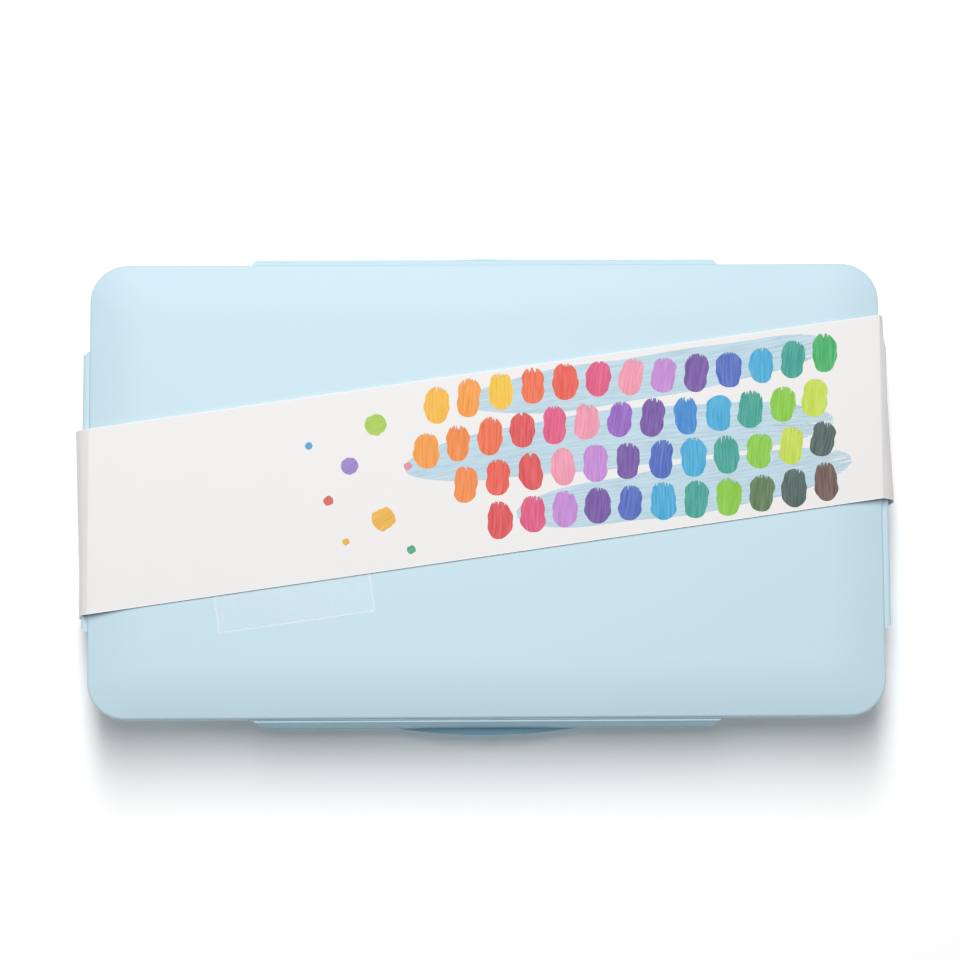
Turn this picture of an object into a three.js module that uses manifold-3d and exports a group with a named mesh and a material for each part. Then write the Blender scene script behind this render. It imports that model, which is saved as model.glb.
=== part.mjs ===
// Gouache paint set box: a shallow tub that holds a rack of eighteen twin cups and a brush,
// a lid with a hinged snap flap on each side, and a paper band wrapped slantwise round both.
//
// Millimetres. X runs along the box to the right, Y to the back and Z up. The origin is the
// middle of the box on the surface that it rests on.

import * as THREE from 'three';
import { mergeVertices } from 'three/addons/utils/BufferGeometryUtils.js';
import Module from 'manifold-3d';

const wasm = await Module();
wasm.setup();

// Clearances that several pieces share
const seatGap = 0.3; // between a piece and what it rests on or passes
const overrun = 1; // how far a cutting shape passes the face that it cuts
const weld = 0.5; // how far joined shapes reach into each other

// Lid plate and its skirt
const plateLength = 276;
const plateWidth = 159;
const plateCorner = 13;
const plateThickness = 1.6;
const edgeThickness = 1.3; // over the tub's rim
const crownRise = 2; // the plate's raised middle
const shoulderWidth = 20; // the soft slope round the middle
const crownCorner = 6;
const plateEdgeRound = 1;
const skirtDepth = 6;
const lidClearance = 0.5; // between the skirt's inside and the tub's rim

// Flaps
const flapThickness = 1.5;
const flapDrop = 14.2; // from the tub's rim down to the flaps' lower edge
const crestDrop = 1.9; // from the plate's middle down to the flap's crest
const flapFlare = 0.4; // the lower edge turns out by this
const flapFlareHeight = 1.4;
const flapCorner = 7;
const longFlapShare = 0.587; // of the plate's length
const longFlapReach = 3.2; // how far the lower edge stands out from the plate
const shortFlapShare = 0.623; // of the plate's width
const shortFlapReach = 4;
const hookHeight = 0.9;
const hookMargin = 2; // from a hook's end to the end of the ledge that it snaps under

// Tub
const tubInset = 2.5; // from the plate's edge to the tub's rim
const tubHeight = 33;
const tubCorner = 12;
const tubWall = 1.6;
const tubFloor = 1.6;
const tubDraft = 3; // each side leans in by this from rim to foot
const tubFootRound = 2.4;
const rimWidth = 4.5;
const rimDepth = 8;
const rimRound = 0.8;
const ledgeInset = 0.9; // the snap ledge stays this far inside the plate's edge
const ledgeHeight = 0.8;
const ledgeSlope = 2;
const ledgeLength = 60;
const lipReach = 5; // the thumb lip's crest beyond the plate's edge
const lipSwell = 5.64; // how far its crest stands out beyond its ends
const lipShare = 0.74; // of the long flap's length
const lipThickness = 1.8;

// Cup rack
const deckDrop = 5.3; // from the tub's rim to the deck
const deckThickness = 1.6;
const rackWall = 1.4;
const troughWidth = 20;
const troughCorner = 8;
const troughEndWall = 3;
const troughFrontWall = 2.3;

// Twin cups
const rows = ['front', 'middle', 'back'];
const columns = 6;
const endMargin = 4.2; // from the outermost flanges to the deck's ends
const backMargin = 2.4; // from the back row's flanges to the deck's back edge
const frontMargin = 3.5; // from the front row's flanges to the trough
const flangeGapAlong = 3.8;
const flangeGapAcross = 2.6;
const flangeCorner = 5;
const flangeThickness = 0.9;
const flangeReachAlong = 2; // from the chambers' mouths out to the flange's edge
const flangeReachAcross = 3;
const chamberCorner = 3.4;
const chamberDraft = 1.6; // each side leans in by this from flange to foot
const cupWall = 0.8;
const cupDivider = 2.6; // between the two chambers' mouths
const cupRise = 2.5; // from the rack's foot to the cups'
const fillDrop = 3; // from the flange's top to the paint

// Brush
const brushShare = 0.724; // of the trough's length
const brushStartShare = 0.108; // of it lies free to the left of the brush
const bristleLength = 22;
const bristleWidth = 12;
const bristleThickness = 4.2;
const bristleTipThickness = 1.6;
const ferruleLength = 26;
const ferruleWall = 0.4;
const ferruleDiameter = 6.8;
const ferruleFlatShare = 0.45; // of the ferrule's length is flattened
const flatCornerShare = 0.33; // the tuft's and the flat ferrule's corner, of their thickness
const handleBellyDiameter = 7.6;
const handleNeckDiameter = 5.6;
const handleEndDiameter = 3.4;

// Paper band
const cardThickness = 0.4;
const bandWidth = 64; // square to its slanted edges
const bandAngle = THREE.MathUtils.degToRad(8.1);
const bandMiddle = 8.7; // it crosses the box's middle this far to the back
const creaseReach = 1.1; // the upper creases lie this far beyond the plate's ends
const bandFootReach = 0.2; // and the lower creases this far
const bandBulge = 5.1; // how far the side panels belly out from the upper creases

// How far down the side panel, and how far out of the bulge, each point of its profile lies
const bulgeShares = [
  [0, 0],
  [0.04, 0.2],
  [0.1, 0.36],
  [0.28, 0.78],
  [0.48, 1],
  [0.7, 0.8],
  [0.88, 0.42],
  [1, 0],
];

// Smoothness
const cornerSteps = 6;
const smallCornerSteps = 3;
const shoulderSteps = 5;
const lipSteps = 24;
const handleSteps = 16;

// Heights that follow
const tubBottom = cardThickness + seatGap;
const rimTop = tubBottom + tubHeight;
const floorTop = tubBottom + tubFloor;
const plateUnder = rimTop + seatGap;
const edgeTop = plateUnder + edgeThickness;
const plateTop = edgeTop + crownRise;
const skirtBottom = plateUnder - skirtDepth;
const deckTop = rimTop - deckDrop;
const rackBottom = floorTop + seatGap;
const flangeTop = deckTop + seatGap + flangeThickness;
const cupHeight = flangeTop - rackBottom - cupRise;
const flapBottomHeight = rimTop - flapDrop;
const crestRadius = flapThickness / 2;
const hingeHeight = plateTop - crestDrop - crestRadius;
const hingeReach = seatGap + crestRadius;
const hookTop = flapBottomHeight + flapFlareHeight + hookHeight;
const ledgeBottom = hookTop + seatGap;
const lipTop = flapBottomHeight - seatGap;
const bandUnder = plateTop + seatGap;

// Places and lengths that follow
const tubLength = plateLength - 2 * tubInset;
const tubWidth = plateWidth - 2 * tubInset;
const longFlapLength = plateLength * longFlapShare;
const shortFlapLength = plateWidth * shortFlapShare;
const hookLength = ledgeLength - 2 * hookMargin;
const lipLength = longFlapLength * lipShare;
const lipRadius = (lipLength ** 2 / 4 + lipSwell ** 2) / (2 * lipSwell);
const rackLength = tubLength - 2 * (rimWidth + seatGap);
const rackWidth = tubWidth - 2 * (rimWidth + seatGap);
const rackCorner = tubCorner - rimWidth - seatGap;
const troughLength = rackLength - 2 * troughEndWall;
const troughFront = troughFrontWall - rackWidth / 2;
const troughMiddle = troughFront + troughWidth / 2;
const troughBack = troughFront + troughWidth;
const cupsBack = rackWidth / 2 - backMargin;
const cupPitchAlong = (rackLength - 2 * endMargin + flangeGapAlong) / columns;
const cupPitchAcross = (cupsBack - troughBack - frontMargin + flangeGapAcross) / rows.length;
const flangeLength = cupPitchAlong - flangeGapAlong;
const flangeWidth = cupPitchAcross - flangeGapAcross;
const chamberLength = (flangeLength - cupDivider) / 2 - flangeReachAlong;
const chamberWidth = flangeWidth - 2 * flangeReachAcross;
const backRowMiddle = cupsBack - flangeWidth / 2;
const bandSlope = Math.tan(bandAngle);
const bandHalfSpan = bandWidth / Math.cos(bandAngle) / 2;
const creaseHalf = plateLength / 2 + creaseReach;

function material(colour, roughness, metalness = 0) {
  return new THREE.MeshStandardMaterial({ color: colour, roughness, metalness });
}

// A closed three.js geometry as a solid that can be joined and cut
function solidOf(geometry) {
  geometry.deleteAttribute('normal');
  geometry.deleteAttribute('uv');
  const merged = mergeVertices(geometry);
  return new wasm.Manifold(
    new wasm.Mesh({
      numProp: 3,
      vertProperties: new Float32Array(merged.attributes.position.array),
      triVerts: new Uint32Array(merged.index.array),
    }),
  );
}

function geometryOf(solid) {
  const { vertProperties, triVerts } = solid.getMesh();
  const geometry = new THREE.BufferGeometry();
  geometry.setAttribute('position', new THREE.BufferAttribute(vertProperties, 3));
  geometry.setIndex(new THREE.BufferAttribute(triVerts, 1));
  geometry.computeVertexNormals();
  return geometry;
}

// A rounded rectangle's points at one height, anticlockwise from above
function ring(length, width, corner, z, steps = cornerSteps) {
  const points = [];
  const quarters = [
    [1, 1],
    [-1, 1],
    [-1, -1],
    [1, -1],
  ];
  quarters.forEach(([right, back], quarter) => {
    const x = right * (length / 2 - corner);
    const y = back * (width / 2 - corner);
    for (let k = 0; k <= steps; k++) {
      const angle = (quarter + k / steps) * (Math.PI / 2);
      points.push([x + corner * Math.cos(angle), y + corner * Math.sin(angle), z]);
    }
  });
  return points;
}

// A surface carried through rings of equal count and closed with a flat face at each end
function loft(rings) {
  const count = rings[0].length;
  const faces = [];
  for (let level = 0; level + 1 < rings.length; level++) {
    for (let i = 0; i < count; i++) {
      const here = level * count + i;
      const next = level * count + ((i + 1) % count);
      faces.push(here, next, next + count, here, next + count, here + count);
    }
  }
  const last = (rings.length - 1) * count;
  for (let i = 1; i + 1 < count; i++) {
    faces.push(0, i + 1, i, last, last + i, last + i + 1);
  }
  const geometry = new THREE.BufferGeometry();
  geometry.setAttribute('position', new THREE.Float32BufferAttribute(rings.flat(2), 3));
  geometry.setIndex(faces);
  return geometry;
}

function extrude(shape, depth, steps = cornerSteps) {
  return new THREE.ExtrudeGeometry(shape, { depth, bevelEnabled: false, curveSegments: steps });
}

// A section of outward and upward measures, carried along X and centred on it
function rail(section, length) {
  const outline = new THREE.Shape(section.map(([out, up]) => new THREE.Vector2(out, up)));
  const along = new THREE.Vector3(1, 0, 0);
  const outward = new THREE.Vector3(0, 1, 0);
  const upward = new THREE.Vector3(0, 0, 1);
  const turn = new THREE.Matrix4().makeBasis(outward, upward, along);
  return extrude(outline, length).translate(0, 0, -length / 2).applyMatrix4(turn);
}

// Each side of the box: the turn that points Y outward there, and the plate's edge
const sides = {
  front: { turn: Math.PI, x: 0, y: -plateWidth / 2, length: longFlapLength, reach: longFlapReach },
  back: { turn: 0, x: 0, y: plateWidth / 2, length: longFlapLength, reach: longFlapReach },
  left: { turn: Math.PI / 2, x: -plateLength / 2, y: 0, length: shortFlapLength, reach: shortFlapReach },
  right: { turn: -Math.PI / 2, x: plateLength / 2, y: 0, length: shortFlapLength, reach: shortFlapReach },
};

const box = new THREE.Group();

function add(name, geometry, finish, place = {}) {
  const mesh = new THREE.Mesh(geometry, finish);
  mesh.name = name;
  mesh.position.set(place.x ?? 0, place.y ?? 0, place.z ?? 0);
  mesh.rotation.z = place.turn ?? 0;
  box.add(mesh);
}

// Moves a geometry from the plate's middle to one side of the box
function toSide(geometry, side) {
  return geometry.rotateZ(side.turn).translate(side.x, side.y, 0);
}

// Tub: up the outside, over the rim, down inside it and along the thinner wall to the floor
function tub() {
  const lean = (z) => (tubDraft * (rimTop - z)) / tubHeight;
  const wallRing = (inset, z) => {
    const total = inset + lean(z);
    return ring(tubLength - 2 * total, tubWidth - 2 * total, tubCorner - total, z);
  };
  const rimRing = (inset, z) =>
    ring(tubLength - 2 * inset, tubWidth - 2 * inset, tubCorner - inset, z);
  const shell = loft([
    wallRing(tubFootRound, tubBottom),
    wallRing(0, tubBottom + tubFootRound),
    wallRing(0, skirtBottom),
    rimRing(0, rimTop - rimRound),
    rimRing(rimRound, rimTop),
    rimRing(rimWidth, rimTop),
    rimRing(rimWidth, rimTop - rimDepth),
    wallRing(tubWall, rimTop - rimDepth - rimWidth / 2),
    wallRing(tubWall, floorTop),
  ]);
  let solid = solidOf(shell);
  for (const side of Object.values(sides)) {
    solid = solid.add(solidOf(toSide(snapLedge(), side)));
  }
  for (const side of [sides.front, sides.back]) {
    solid = solid.add(solidOf(toSide(thumbLip(), side)));
  }
  return geometryOf(solid);
}

// How far the tub's wall lies inside the plate's edge at a height
function wallInset(z) {
  return tubInset + (tubDraft * (rimTop - z)) / tubHeight;
}

// The ledge that a flap's hook snaps under
function snapLedge() {
  const root = -wallInset(ledgeBottom) - weld;
  const section = [
    [root, ledgeBottom],
    [-ledgeInset, ledgeBottom],
    [-ledgeInset, ledgeBottom + ledgeHeight],
    [root, ledgeBottom + ledgeHeight + ledgeSlope],
  ];
  return rail(section, ledgeLength);
}

// The arc-shaped ledge below a long flap, where a thumb presses the tub down
function thumbLip() {
  const root = -wallInset(lipTop - lipThickness) - weld;
  const half = lipLength / 2;
  const outline = new THREE.Shape();
  outline.moveTo(-half, root);
  outline.lineTo(half, root);
  const sweep = Math.asin(half / lipRadius);
  for (let k = 0; k <= lipSteps; k++) {
    const angle = sweep - (2 * sweep * k) / lipSteps;
    const out = lipReach - lipRadius * (1 - Math.cos(angle));
    outline.lineTo(lipRadius * Math.sin(angle), out);
  }
  return extrude(outline, lipThickness).translate(0, 0, lipTop - lipThickness);
}

// Lid plate: from the hollow under its middle out over the rim and down inside the skirt,
// round the skirt's foot, up the outside and over the soft shoulder
function lidPlate() {
  const skirtInset = tubInset - lidClearance;
  const rimInset = tubInset + rimWidth;
  const plateRing = (inset, corner, z) =>
    ring(plateLength - 2 * inset, plateWidth - 2 * inset, corner, z);
  const outer = (inset, z) => plateRing(inset, plateCorner - inset, z);
  const bevel = plateEdgeRound * (1 - Math.SQRT1_2);
  const rings = [
    plateRing(shoulderWidth, crownCorner, plateTop - plateThickness),
    plateRing(rimInset, tubCorner - rimWidth, plateUnder),
    plateRing(skirtInset, tubCorner + lidClearance, plateUnder),
    plateRing(skirtInset, tubCorner + lidClearance, skirtBottom),
    outer(0, skirtBottom),
    outer(0, edgeTop - plateEdgeRound),
    outer(bevel, edgeTop - bevel),
  ];
  for (let k = shoulderSteps; k >= 0; k--) {
    const share = k / shoulderSteps;
    const inset = shoulderWidth + (plateEdgeRound - shoulderWidth) * share;
    const corner = crownCorner + (plateCorner - plateEdgeRound - crownCorner) * share;
    rings.push(plateRing(inset, corner, plateTop - crownRise * share * share));
  }
  return loft(rings);
}

// Flap: a crest that turns about its own centre, a leaning face, a flared foot and a hook
function flap(side) {
  const face = side.reach - flapFlare;
  const crest = [];
  for (let k = 0; k <= cornerSteps; k++) {
    const angle = (Math.PI * k) / cornerSteps;
    const out = hingeReach + crestRadius * Math.cos(angle);
    crest.push([out, hingeHeight + crestRadius * Math.sin(angle)]);
  }
  const section = [
    ...crest,
    [face - flapThickness, flapBottomHeight + flapFlareHeight],
    [side.reach - flapThickness, flapBottomHeight],
    [side.reach, flapBottomHeight],
    [face, flapBottomHeight + flapFlareHeight],
  ];
  const hook = [
    [face - flapThickness + weld, hookTop - hookHeight],
    [face - flapThickness + weld, hookTop],
    [seatGap - ledgeInset, hookTop],
    [seatGap - ledgeInset, hookTop - hookHeight / 2],
  ];
  const half = side.length / 2;
  const top = hingeHeight + crestRadius + overrun;
  const outline = new THREE.Shape();
  outline.moveTo(half, top);
  outline.lineTo(-half, top);
  outline.lineTo(-half, flapBottomHeight + flapCorner);
  outline.absarc(flapCorner - half, flapBottomHeight + flapCorner, flapCorner, Math.PI, 1.5 * Math.PI);
  outline.absarc(half - flapCorner, flapBottomHeight + flapCorner, flapCorner, 1.5 * Math.PI, 2 * Math.PI);
  outline.closePath();
  const depth = side.reach + flapThickness + 2 * overrun;
  const cutter = extrude(outline, depth).rotateX(Math.PI / 2).translate(0, side.reach + overrun, 0);
  const solid = solidOf(rail(section, side.length + 2 * overrun)).intersect(solidOf(cutter));
  return geometryOf(solid.add(solidOf(rail(hook, hookLength))));
}

// Cup rack: a block hollowed from below, with the trough and the cup openings cut from above
function cupRack() {
  const block = loft([
    ring(rackLength, rackWidth, rackCorner, rackBottom),
    ring(rackLength, rackWidth, rackCorner, deckTop),
  ]);
  const hollowFront = troughBack + rackWall;
  const hollowBack = rackWidth / 2 - rackWall;
  const hollowLength = rackLength - 2 * rackWall;
  const hollowWidth = hollowBack - hollowFront;
  const hollowMiddle = (hollowBack + hollowFront) / 2;
  const hollowCorner = rackCorner - rackWall;
  const hollow = loft([
    ring(hollowLength, hollowWidth, hollowCorner, rackBottom - overrun),
    ring(hollowLength, hollowWidth, hollowCorner, deckTop - deckThickness),
  ]).translate(0, hollowMiddle, 0);
  const trough = loft([
    ring(troughLength, troughWidth, troughCorner, rackBottom + rackWall),
    ring(troughLength, troughWidth, troughCorner, deckTop + overrun),
  ]).translate(0, troughMiddle, 0);
  let solid = solidOf(block).subtract(solidOf(hollow)).subtract(solidOf(trough));
  const openingLength = 2 * (chamberLength + cupWall + seatGap) + cupDivider;
  const openingWidth = chamberWidth + 2 * (cupWall + seatGap);
  const openingCorner = chamberCorner + cupWall + seatGap;
  for (const cup of cupPlaces()) {
    const opening = loft([
      ring(openingLength, openingWidth, openingCorner, deckTop - deckThickness - overrun, smallCornerSteps),
      ring(openingLength, openingWidth, openingCorner, deckTop + overrun, smallCornerSteps),
    ]).translate(cup.x, cup.y, 0);
    solid = solid.subtract(solidOf(opening));
  }
  return geometryOf(solid);
}

function cupPlaces() {
  return rows.flatMap((row, rank) =>
    Array.from({ length: columns }, (_, column) => ({
      name: `twin_cup_${row}_${column + 1}`,
      x: (column - (columns - 1) / 2) * cupPitchAlong,
      y: backRowMiddle - (rows.length - 1 - rank) * cupPitchAcross,
    })),
  );
}

// Twin cup with its two fills of paint, which lie a little below the flange
function twinCup() {
  const chamberRing = (grow, lean, z) =>
    ring(
      chamberLength + 2 * (grow - lean),
      chamberWidth + 2 * (grow - lean),
      chamberCorner + grow - lean / 2,
      z,
      smallCornerSteps,
    );
  const flange = loft([
    ring(flangeLength, flangeWidth, flangeCorner, flangeTop - flangeThickness, smallCornerSteps),
    ring(flangeLength, flangeWidth, flangeCorner, flangeTop, smallCornerSteps),
  ]);
  const fillLean = (chamberDraft * fillDrop) / cupHeight;
  const mouthLean = (-chamberDraft * overrun) / cupHeight;
  let solid = solidOf(flange);
  for (const hand of [-1, 1]) {
    const shift = (hand * (chamberLength + cupDivider)) / 2;
    const body = loft([
      chamberRing(cupWall, chamberDraft, flangeTop - cupHeight),
      chamberRing(cupWall, 0, flangeTop - flangeThickness / 2),
    ]).translate(shift, 0, 0);
    const mouth = loft([
      chamberRing(0, fillLean, flangeTop - fillDrop),
      chamberRing(0, mouthLean, flangeTop + overrun),
    ]).translate(shift, 0, 0);
    solid = solid.add(solidOf(body)).subtract(solidOf(mouth));
  }
  return geometryOf(solid);
}

// Brush, built upright and laid down along X, with its tip to the left
const brushLength = troughLength * brushShare;
const brushStart = troughLength * (brushStartShare - 0.5);
const ferruleStart = brushStart + bristleLength;
const handleStart = ferruleStart + ferruleLength;
const brushHeight = rackBottom + rackWall + seatGap + handleBellyDiameter / 2;

function layDown(geometry, start) {
  return geometry.rotateY(Math.PI / 2).translate(start, troughMiddle, brushHeight);
}

function bristles() {
  const tuft = (thickness, z) =>
    ring(thickness, bristleWidth, thickness * flatCornerShare, z, smallCornerSteps);
  return layDown(
    loft([
      tuft(bristleTipThickness, 0),
      tuft(bristleThickness, bristleLength / 2),
      tuft(bristleThickness, bristleLength - seatGap),
    ]),
    brushStart,
  );
}

function ferrule() {
  const flatThickness = bristleThickness + 2 * ferruleWall;
  const flatWidth = bristleWidth + 2 * ferruleWall;
  const flatCorner = flatThickness * flatCornerShare;
  const roundCorner = (ferruleDiameter - ferruleWall) / 2;
  return layDown(
    loft([
      ring(flatThickness, flatWidth, flatCorner, 0, smallCornerSteps),
      ring(flatThickness, flatWidth, flatCorner, ferruleLength * ferruleFlatShare, smallCornerSteps),
      ring(ferruleDiameter, ferruleDiameter, roundCorner, ferruleLength - seatGap, smallCornerSteps),
    ]),
    ferruleStart,
  );
}

// Handle, turned: how far along it, and the diameter there
function brushHandle() {
  const length = brushLength - bristleLength - ferruleLength;
  const profile = [
    [0, handleNeckDiameter],
    [0.12, handleNeckDiameter],
    [0.26, handleBellyDiameter],
    [0.5, (handleBellyDiameter + handleNeckDiameter) / 2],
    [0.97, handleEndDiameter],
    [1, handleEndDiameter / 2],
  ];
  const points = profile.map(([share, diameter]) => new THREE.Vector2(diameter / 2, share * length));
  const axis = (height) => new THREE.Vector2(0, height);
  const turned = new THREE.LatheGeometry([axis(0), ...points, axis(length)], handleSteps);
  return layDown(turned.rotateX(Math.PI / 2), handleStart);
}

// Band, where it crosses the box at a place along X
function bandLine(x) {
  return bandMiddle + bandSlope * x;
}

// A slanted panel above or below the box, between its two creases
function bandPanel(half, under) {
  const corners = [
    [-half, bandLine(-half) - bandHalfSpan],
    [half, bandLine(half) - bandHalfSpan],
    [half, bandLine(half) + bandHalfSpan],
    [-half, bandLine(-half) + bandHalfSpan],
  ];
  const outline = new THREE.Shape(corners.map(([x, y]) => new THREE.Vector2(x, y)));
  return extrude(outline, cardThickness).translate(0, 0, under);
}

// A side panel, bellied out over the flap
function bandSide() {
  const top = bandUnder - seatGap;
  const bottom = cardThickness + seatGap;
  const outer = bulgeShares.map(([down, out]) => [
    creaseReach + (bandFootReach - creaseReach) * down + bandBulge * out,
    top + (bottom - top) * down,
  ]);
  const inner = outer.map(([out, up]) => [out - cardThickness, up]).reverse();
  return rail([...outer, ...inner].reverse(), 2 * bandHalfSpan);
}

const lidPlastic = () => material('#cfe3ec', 0.38);
const tubPlastic = () => material('#a9cbd8', 0.4);
const rackPlastic = () => material('#c3dbe2', 0.42);
const card = () => material('#f0efec', 0.7);

add('base_tub', tub(), tubPlastic());
add('cup_rack', cupRack(), rackPlastic());
for (const cup of cupPlaces()) {
  add(cup.name, twinCup(), material('#e9eef0', 0.25), cup);
}
add('brush_bristles', bristles(), material('#f3efe4', 0.8));
add('brush_ferrule', ferrule(), material('#c9ccce', 0.3, 1));
add('brush_handle', brushHandle(), material('#cfe9e8', 0.15));
add('lid_plate', lidPlate(), lidPlastic());
for (const [name, side] of Object.entries(sides)) {
  add(`flap_${name}`, flap(side), lidPlastic(), side);
}
add('band_top', bandPanel(creaseHalf, bandUnder), card());
add('band_left', bandSide(), card(), { ...sides.left, y: bandLine(-creaseHalf) });
add('band_right', bandSide(), card(), { ...sides.right, y: bandLine(creaseHalf) });
add('band_bottom', bandPanel(plateLength / 2 + bandFootReach, 0), card());

export default box;
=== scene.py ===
"""Looks of a gouache paint set box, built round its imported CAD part.

The box lies closed on a pale table: a lid with four snap flaps over a shallow tub, with a printed
card band wrapped slantwise round both. Inside are a rack of clear twin cups of paint and a brush.
Lengths are in metres, X to the right, Y to the back and Z up, with the origin on the table.
"""

import math
from collections import namedtuple

import bmesh
import bpy
import numpy as np
from bpy.props import FloatProperty, FloatVectorProperty, IntProperty, PointerProperty
from bpy.types import Operator, Panel, PropertyGroup
from mathutils import Euler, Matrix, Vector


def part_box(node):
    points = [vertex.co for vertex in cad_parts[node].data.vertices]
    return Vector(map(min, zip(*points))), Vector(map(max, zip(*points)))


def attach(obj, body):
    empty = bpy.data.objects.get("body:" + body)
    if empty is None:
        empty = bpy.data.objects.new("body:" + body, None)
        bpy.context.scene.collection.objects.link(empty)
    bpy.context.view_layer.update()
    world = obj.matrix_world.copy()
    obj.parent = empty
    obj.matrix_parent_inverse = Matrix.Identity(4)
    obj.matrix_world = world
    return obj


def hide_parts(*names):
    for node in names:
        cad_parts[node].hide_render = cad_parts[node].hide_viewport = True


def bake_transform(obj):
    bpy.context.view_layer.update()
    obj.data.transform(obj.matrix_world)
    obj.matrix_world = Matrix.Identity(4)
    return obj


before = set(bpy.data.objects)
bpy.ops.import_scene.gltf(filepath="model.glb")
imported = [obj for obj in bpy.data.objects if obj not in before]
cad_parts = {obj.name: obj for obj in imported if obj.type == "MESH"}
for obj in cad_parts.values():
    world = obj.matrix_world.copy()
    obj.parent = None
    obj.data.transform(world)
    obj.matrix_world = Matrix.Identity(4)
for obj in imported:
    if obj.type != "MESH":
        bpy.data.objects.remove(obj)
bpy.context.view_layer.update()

bl_info = {
    "name": "Paint Set Box",
    "version": (1, 0, 0),
    "blender": (4, 5, 0),
    "location": "View3D > Sidebar > Paint Box",
    "description": "Dresses a gouache paint set box: lid, flaps, tub, cups, brush and card band",
    "category": "Object",
}

MM = 0.001


# What the settings are made with


def colour(code):
    """The linear colour of a web code, which states it as a screen shows it."""
    screen = np.array([int(code[i : i + 2], 16) for i in (1, 3, 5)]) / 255
    return tuple(np.where(screen <= 0.04045, screen / 12.92, ((screen + 0.055) / 1.055) ** 2.4))


def length_of(name, description, size):
    """A length setting, whose default is given in millimetres."""
    return FloatProperty(name=name, description=description, default=size * MM, min=0, unit="LENGTH")


def power_of(name, description, watts):
    return FloatProperty(name=name, description=description, default=watts, min=0, unit="POWER")


def colour_of(name, description, code):
    """A colour setting, whose default is given as a web code."""
    return FloatVectorProperty(
        name=name, description=description, default=colour(code), min=0, max=1, size=3, subtype="COLOR"
    )


def span(node, axis):
    """How long a CAD node is along an axis, in millimetres."""
    low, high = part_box(node)
    return (high[axis] - low[axis]) / MM


# Settings


class LidSettings(PropertyGroup):
    length: length_of("Length", "Along the plate", span("lid_plate", 0))
    width: length_of("Width", "Across the plate", span("lid_plate", 1))
    corner: length_of("Corner", "Radius of the plate's corners", 13)
    wall: length_of("Wall", "Thickness under the raised middle", 1.6)
    rim_wall: length_of("Rim wall", "Thickness over the tub's rim", 1.3)
    crown_rise: length_of("Crown rise", "How far the middle stands above the edge", 2)
    shoulder: length_of("Shoulder", "Width of the slope round the middle", 20)
    crown_corner: length_of("Crown corner", "Corner radius of the raised middle", 6)
    edge_round: length_of("Edge round", "Radius of the plate's upper edge", 1)
    skirt: length_of("Skirt", "Depth of the skirt below the plate's underside", 6)
    skirt_gap: length_of("Skirt gap", "Between the skirt and the tub's rim", 0.5)
    tint: colour_of("Lid colour", "Moulded plastic of the lid", "#c3dde8")


class FlapSettings(PropertyGroup):
    corner: length_of("Corner", "Radius of the lower corners", 4)
    crest_drop: length_of("Crest drop", "From the lid's top down to the flap's crest", 1.9)
    flare: length_of("Flare", "How far the lower edge turns out", 0.4)
    flare_height: length_of("Flare height", "Height of the turned edge", 1.4)
    end_slant: length_of("End slant", "How far each end leans in at the foot", 1.5)
    end_bevel: length_of("End bevel", "How far each end draws in across the top", 1.4)
    hook_length: length_of("Hook length", "Of the hook that snaps under the ledge", 56)
    hook_height: length_of("Hook height", "Of the hook that snaps under the ledge", 0.9)
    # Painted shade: the flaps' faces are the lid's plastic, tinted deeper and bluer because they lie in shade
    tint: colour_of("Flap colour", "Moulded plastic of the flaps' faces", "#abd6ea")


class TubSettings(PropertyGroup):
    inset: length_of("Inset", "From the plate's edge to the rim", 2.5)
    corner: length_of("Corner", "Radius of the rim's corners", 12)
    wall: length_of("Wall", "Thickness of wall and floor", 1.6)
    draft: length_of("Draft", "How far each side leans in at the foot", 3)
    foot_round: length_of("Foot round", "Radius of the lower edge", 2.4)
    rim_width: length_of("Rim width", "Of the thick rim", 4.5)
    rim_depth: length_of("Rim depth", "Of the thick rim", 8)
    rim_round: length_of("Rim round", "Radius of the rim's edges", 0.8)
    lip_reach: length_of("Lip reach", "Of the thumb lip beyond the plate's edge", 5)
    lip_swell: length_of("Lip swell", "How far the lip's crest stands beyond its ends", 8.8)
    lip_length: length_of("Lip length", "Along the thumb lip", 120)
    lip_thickness: length_of("Lip thickness", "Of the thumb lip", 1.8)
    ledge_length: length_of("Ledge length", "Along a ledge that a flap snaps under", 60)
    # Painted shade: deeper and bluer than the lid's colour, which the tub shares
    tint: colour_of("Tub colour", "Moulded plastic of the tub", "#aed4e2")
    rack_tint: colour_of("Rack colour", "Moulded plastic of the cup rack", "#c3dce7")
    # Painted shade: the rack's trough and walls below the deck take this deeper blue for the shade in them
    trough_painted_shade_tint: colour_of("Trough colour", "The rack's thinner walls and trough", "#94cbdf")
    # Painted shade: the thumb lips lie in the flaps' shadow, so their tint is deeper and bluer than the tub's
    lip_painted_shade_tint: colour_of("Lip colour", "Moulded plastic of the thumb lips", "#98cbe2")


class CupSettings(PropertyGroup):
    chamber_length: length_of("Chamber length", "Along one chamber's mouth", 16.2)
    chamber_width: length_of("Chamber width", "Across one chamber's mouth", 31)
    chamber_corner: length_of("Chamber corner", "Radius of a chamber's corners", 3.4)
    draft: length_of("Draft", "How far each chamber side leans in at the foot", 1.6)
    wall: length_of("Wall", "Thickness of the clear plastic", 0.8)
    divider: length_of("Divider", "Between the two chambers' mouths", 2.6)
    flange_corner: length_of("Flange corner", "Radius of the flange's corners", 5)
    flange_thickness: length_of("Flange thickness", "Of the clear flange", 0.9)
    bead: length_of("Bead", "Height of the bead round each mouth", 0.3)
    fill_drop: length_of("Fill drop", "From the flange's top to the paint", 3)
    swirl: length_of("Swirl", "Height of the waves in the paint", 0.09)
    tint: colour_of("Cup colour", "Clear moulded plastic", "#f4f8fa")


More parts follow.
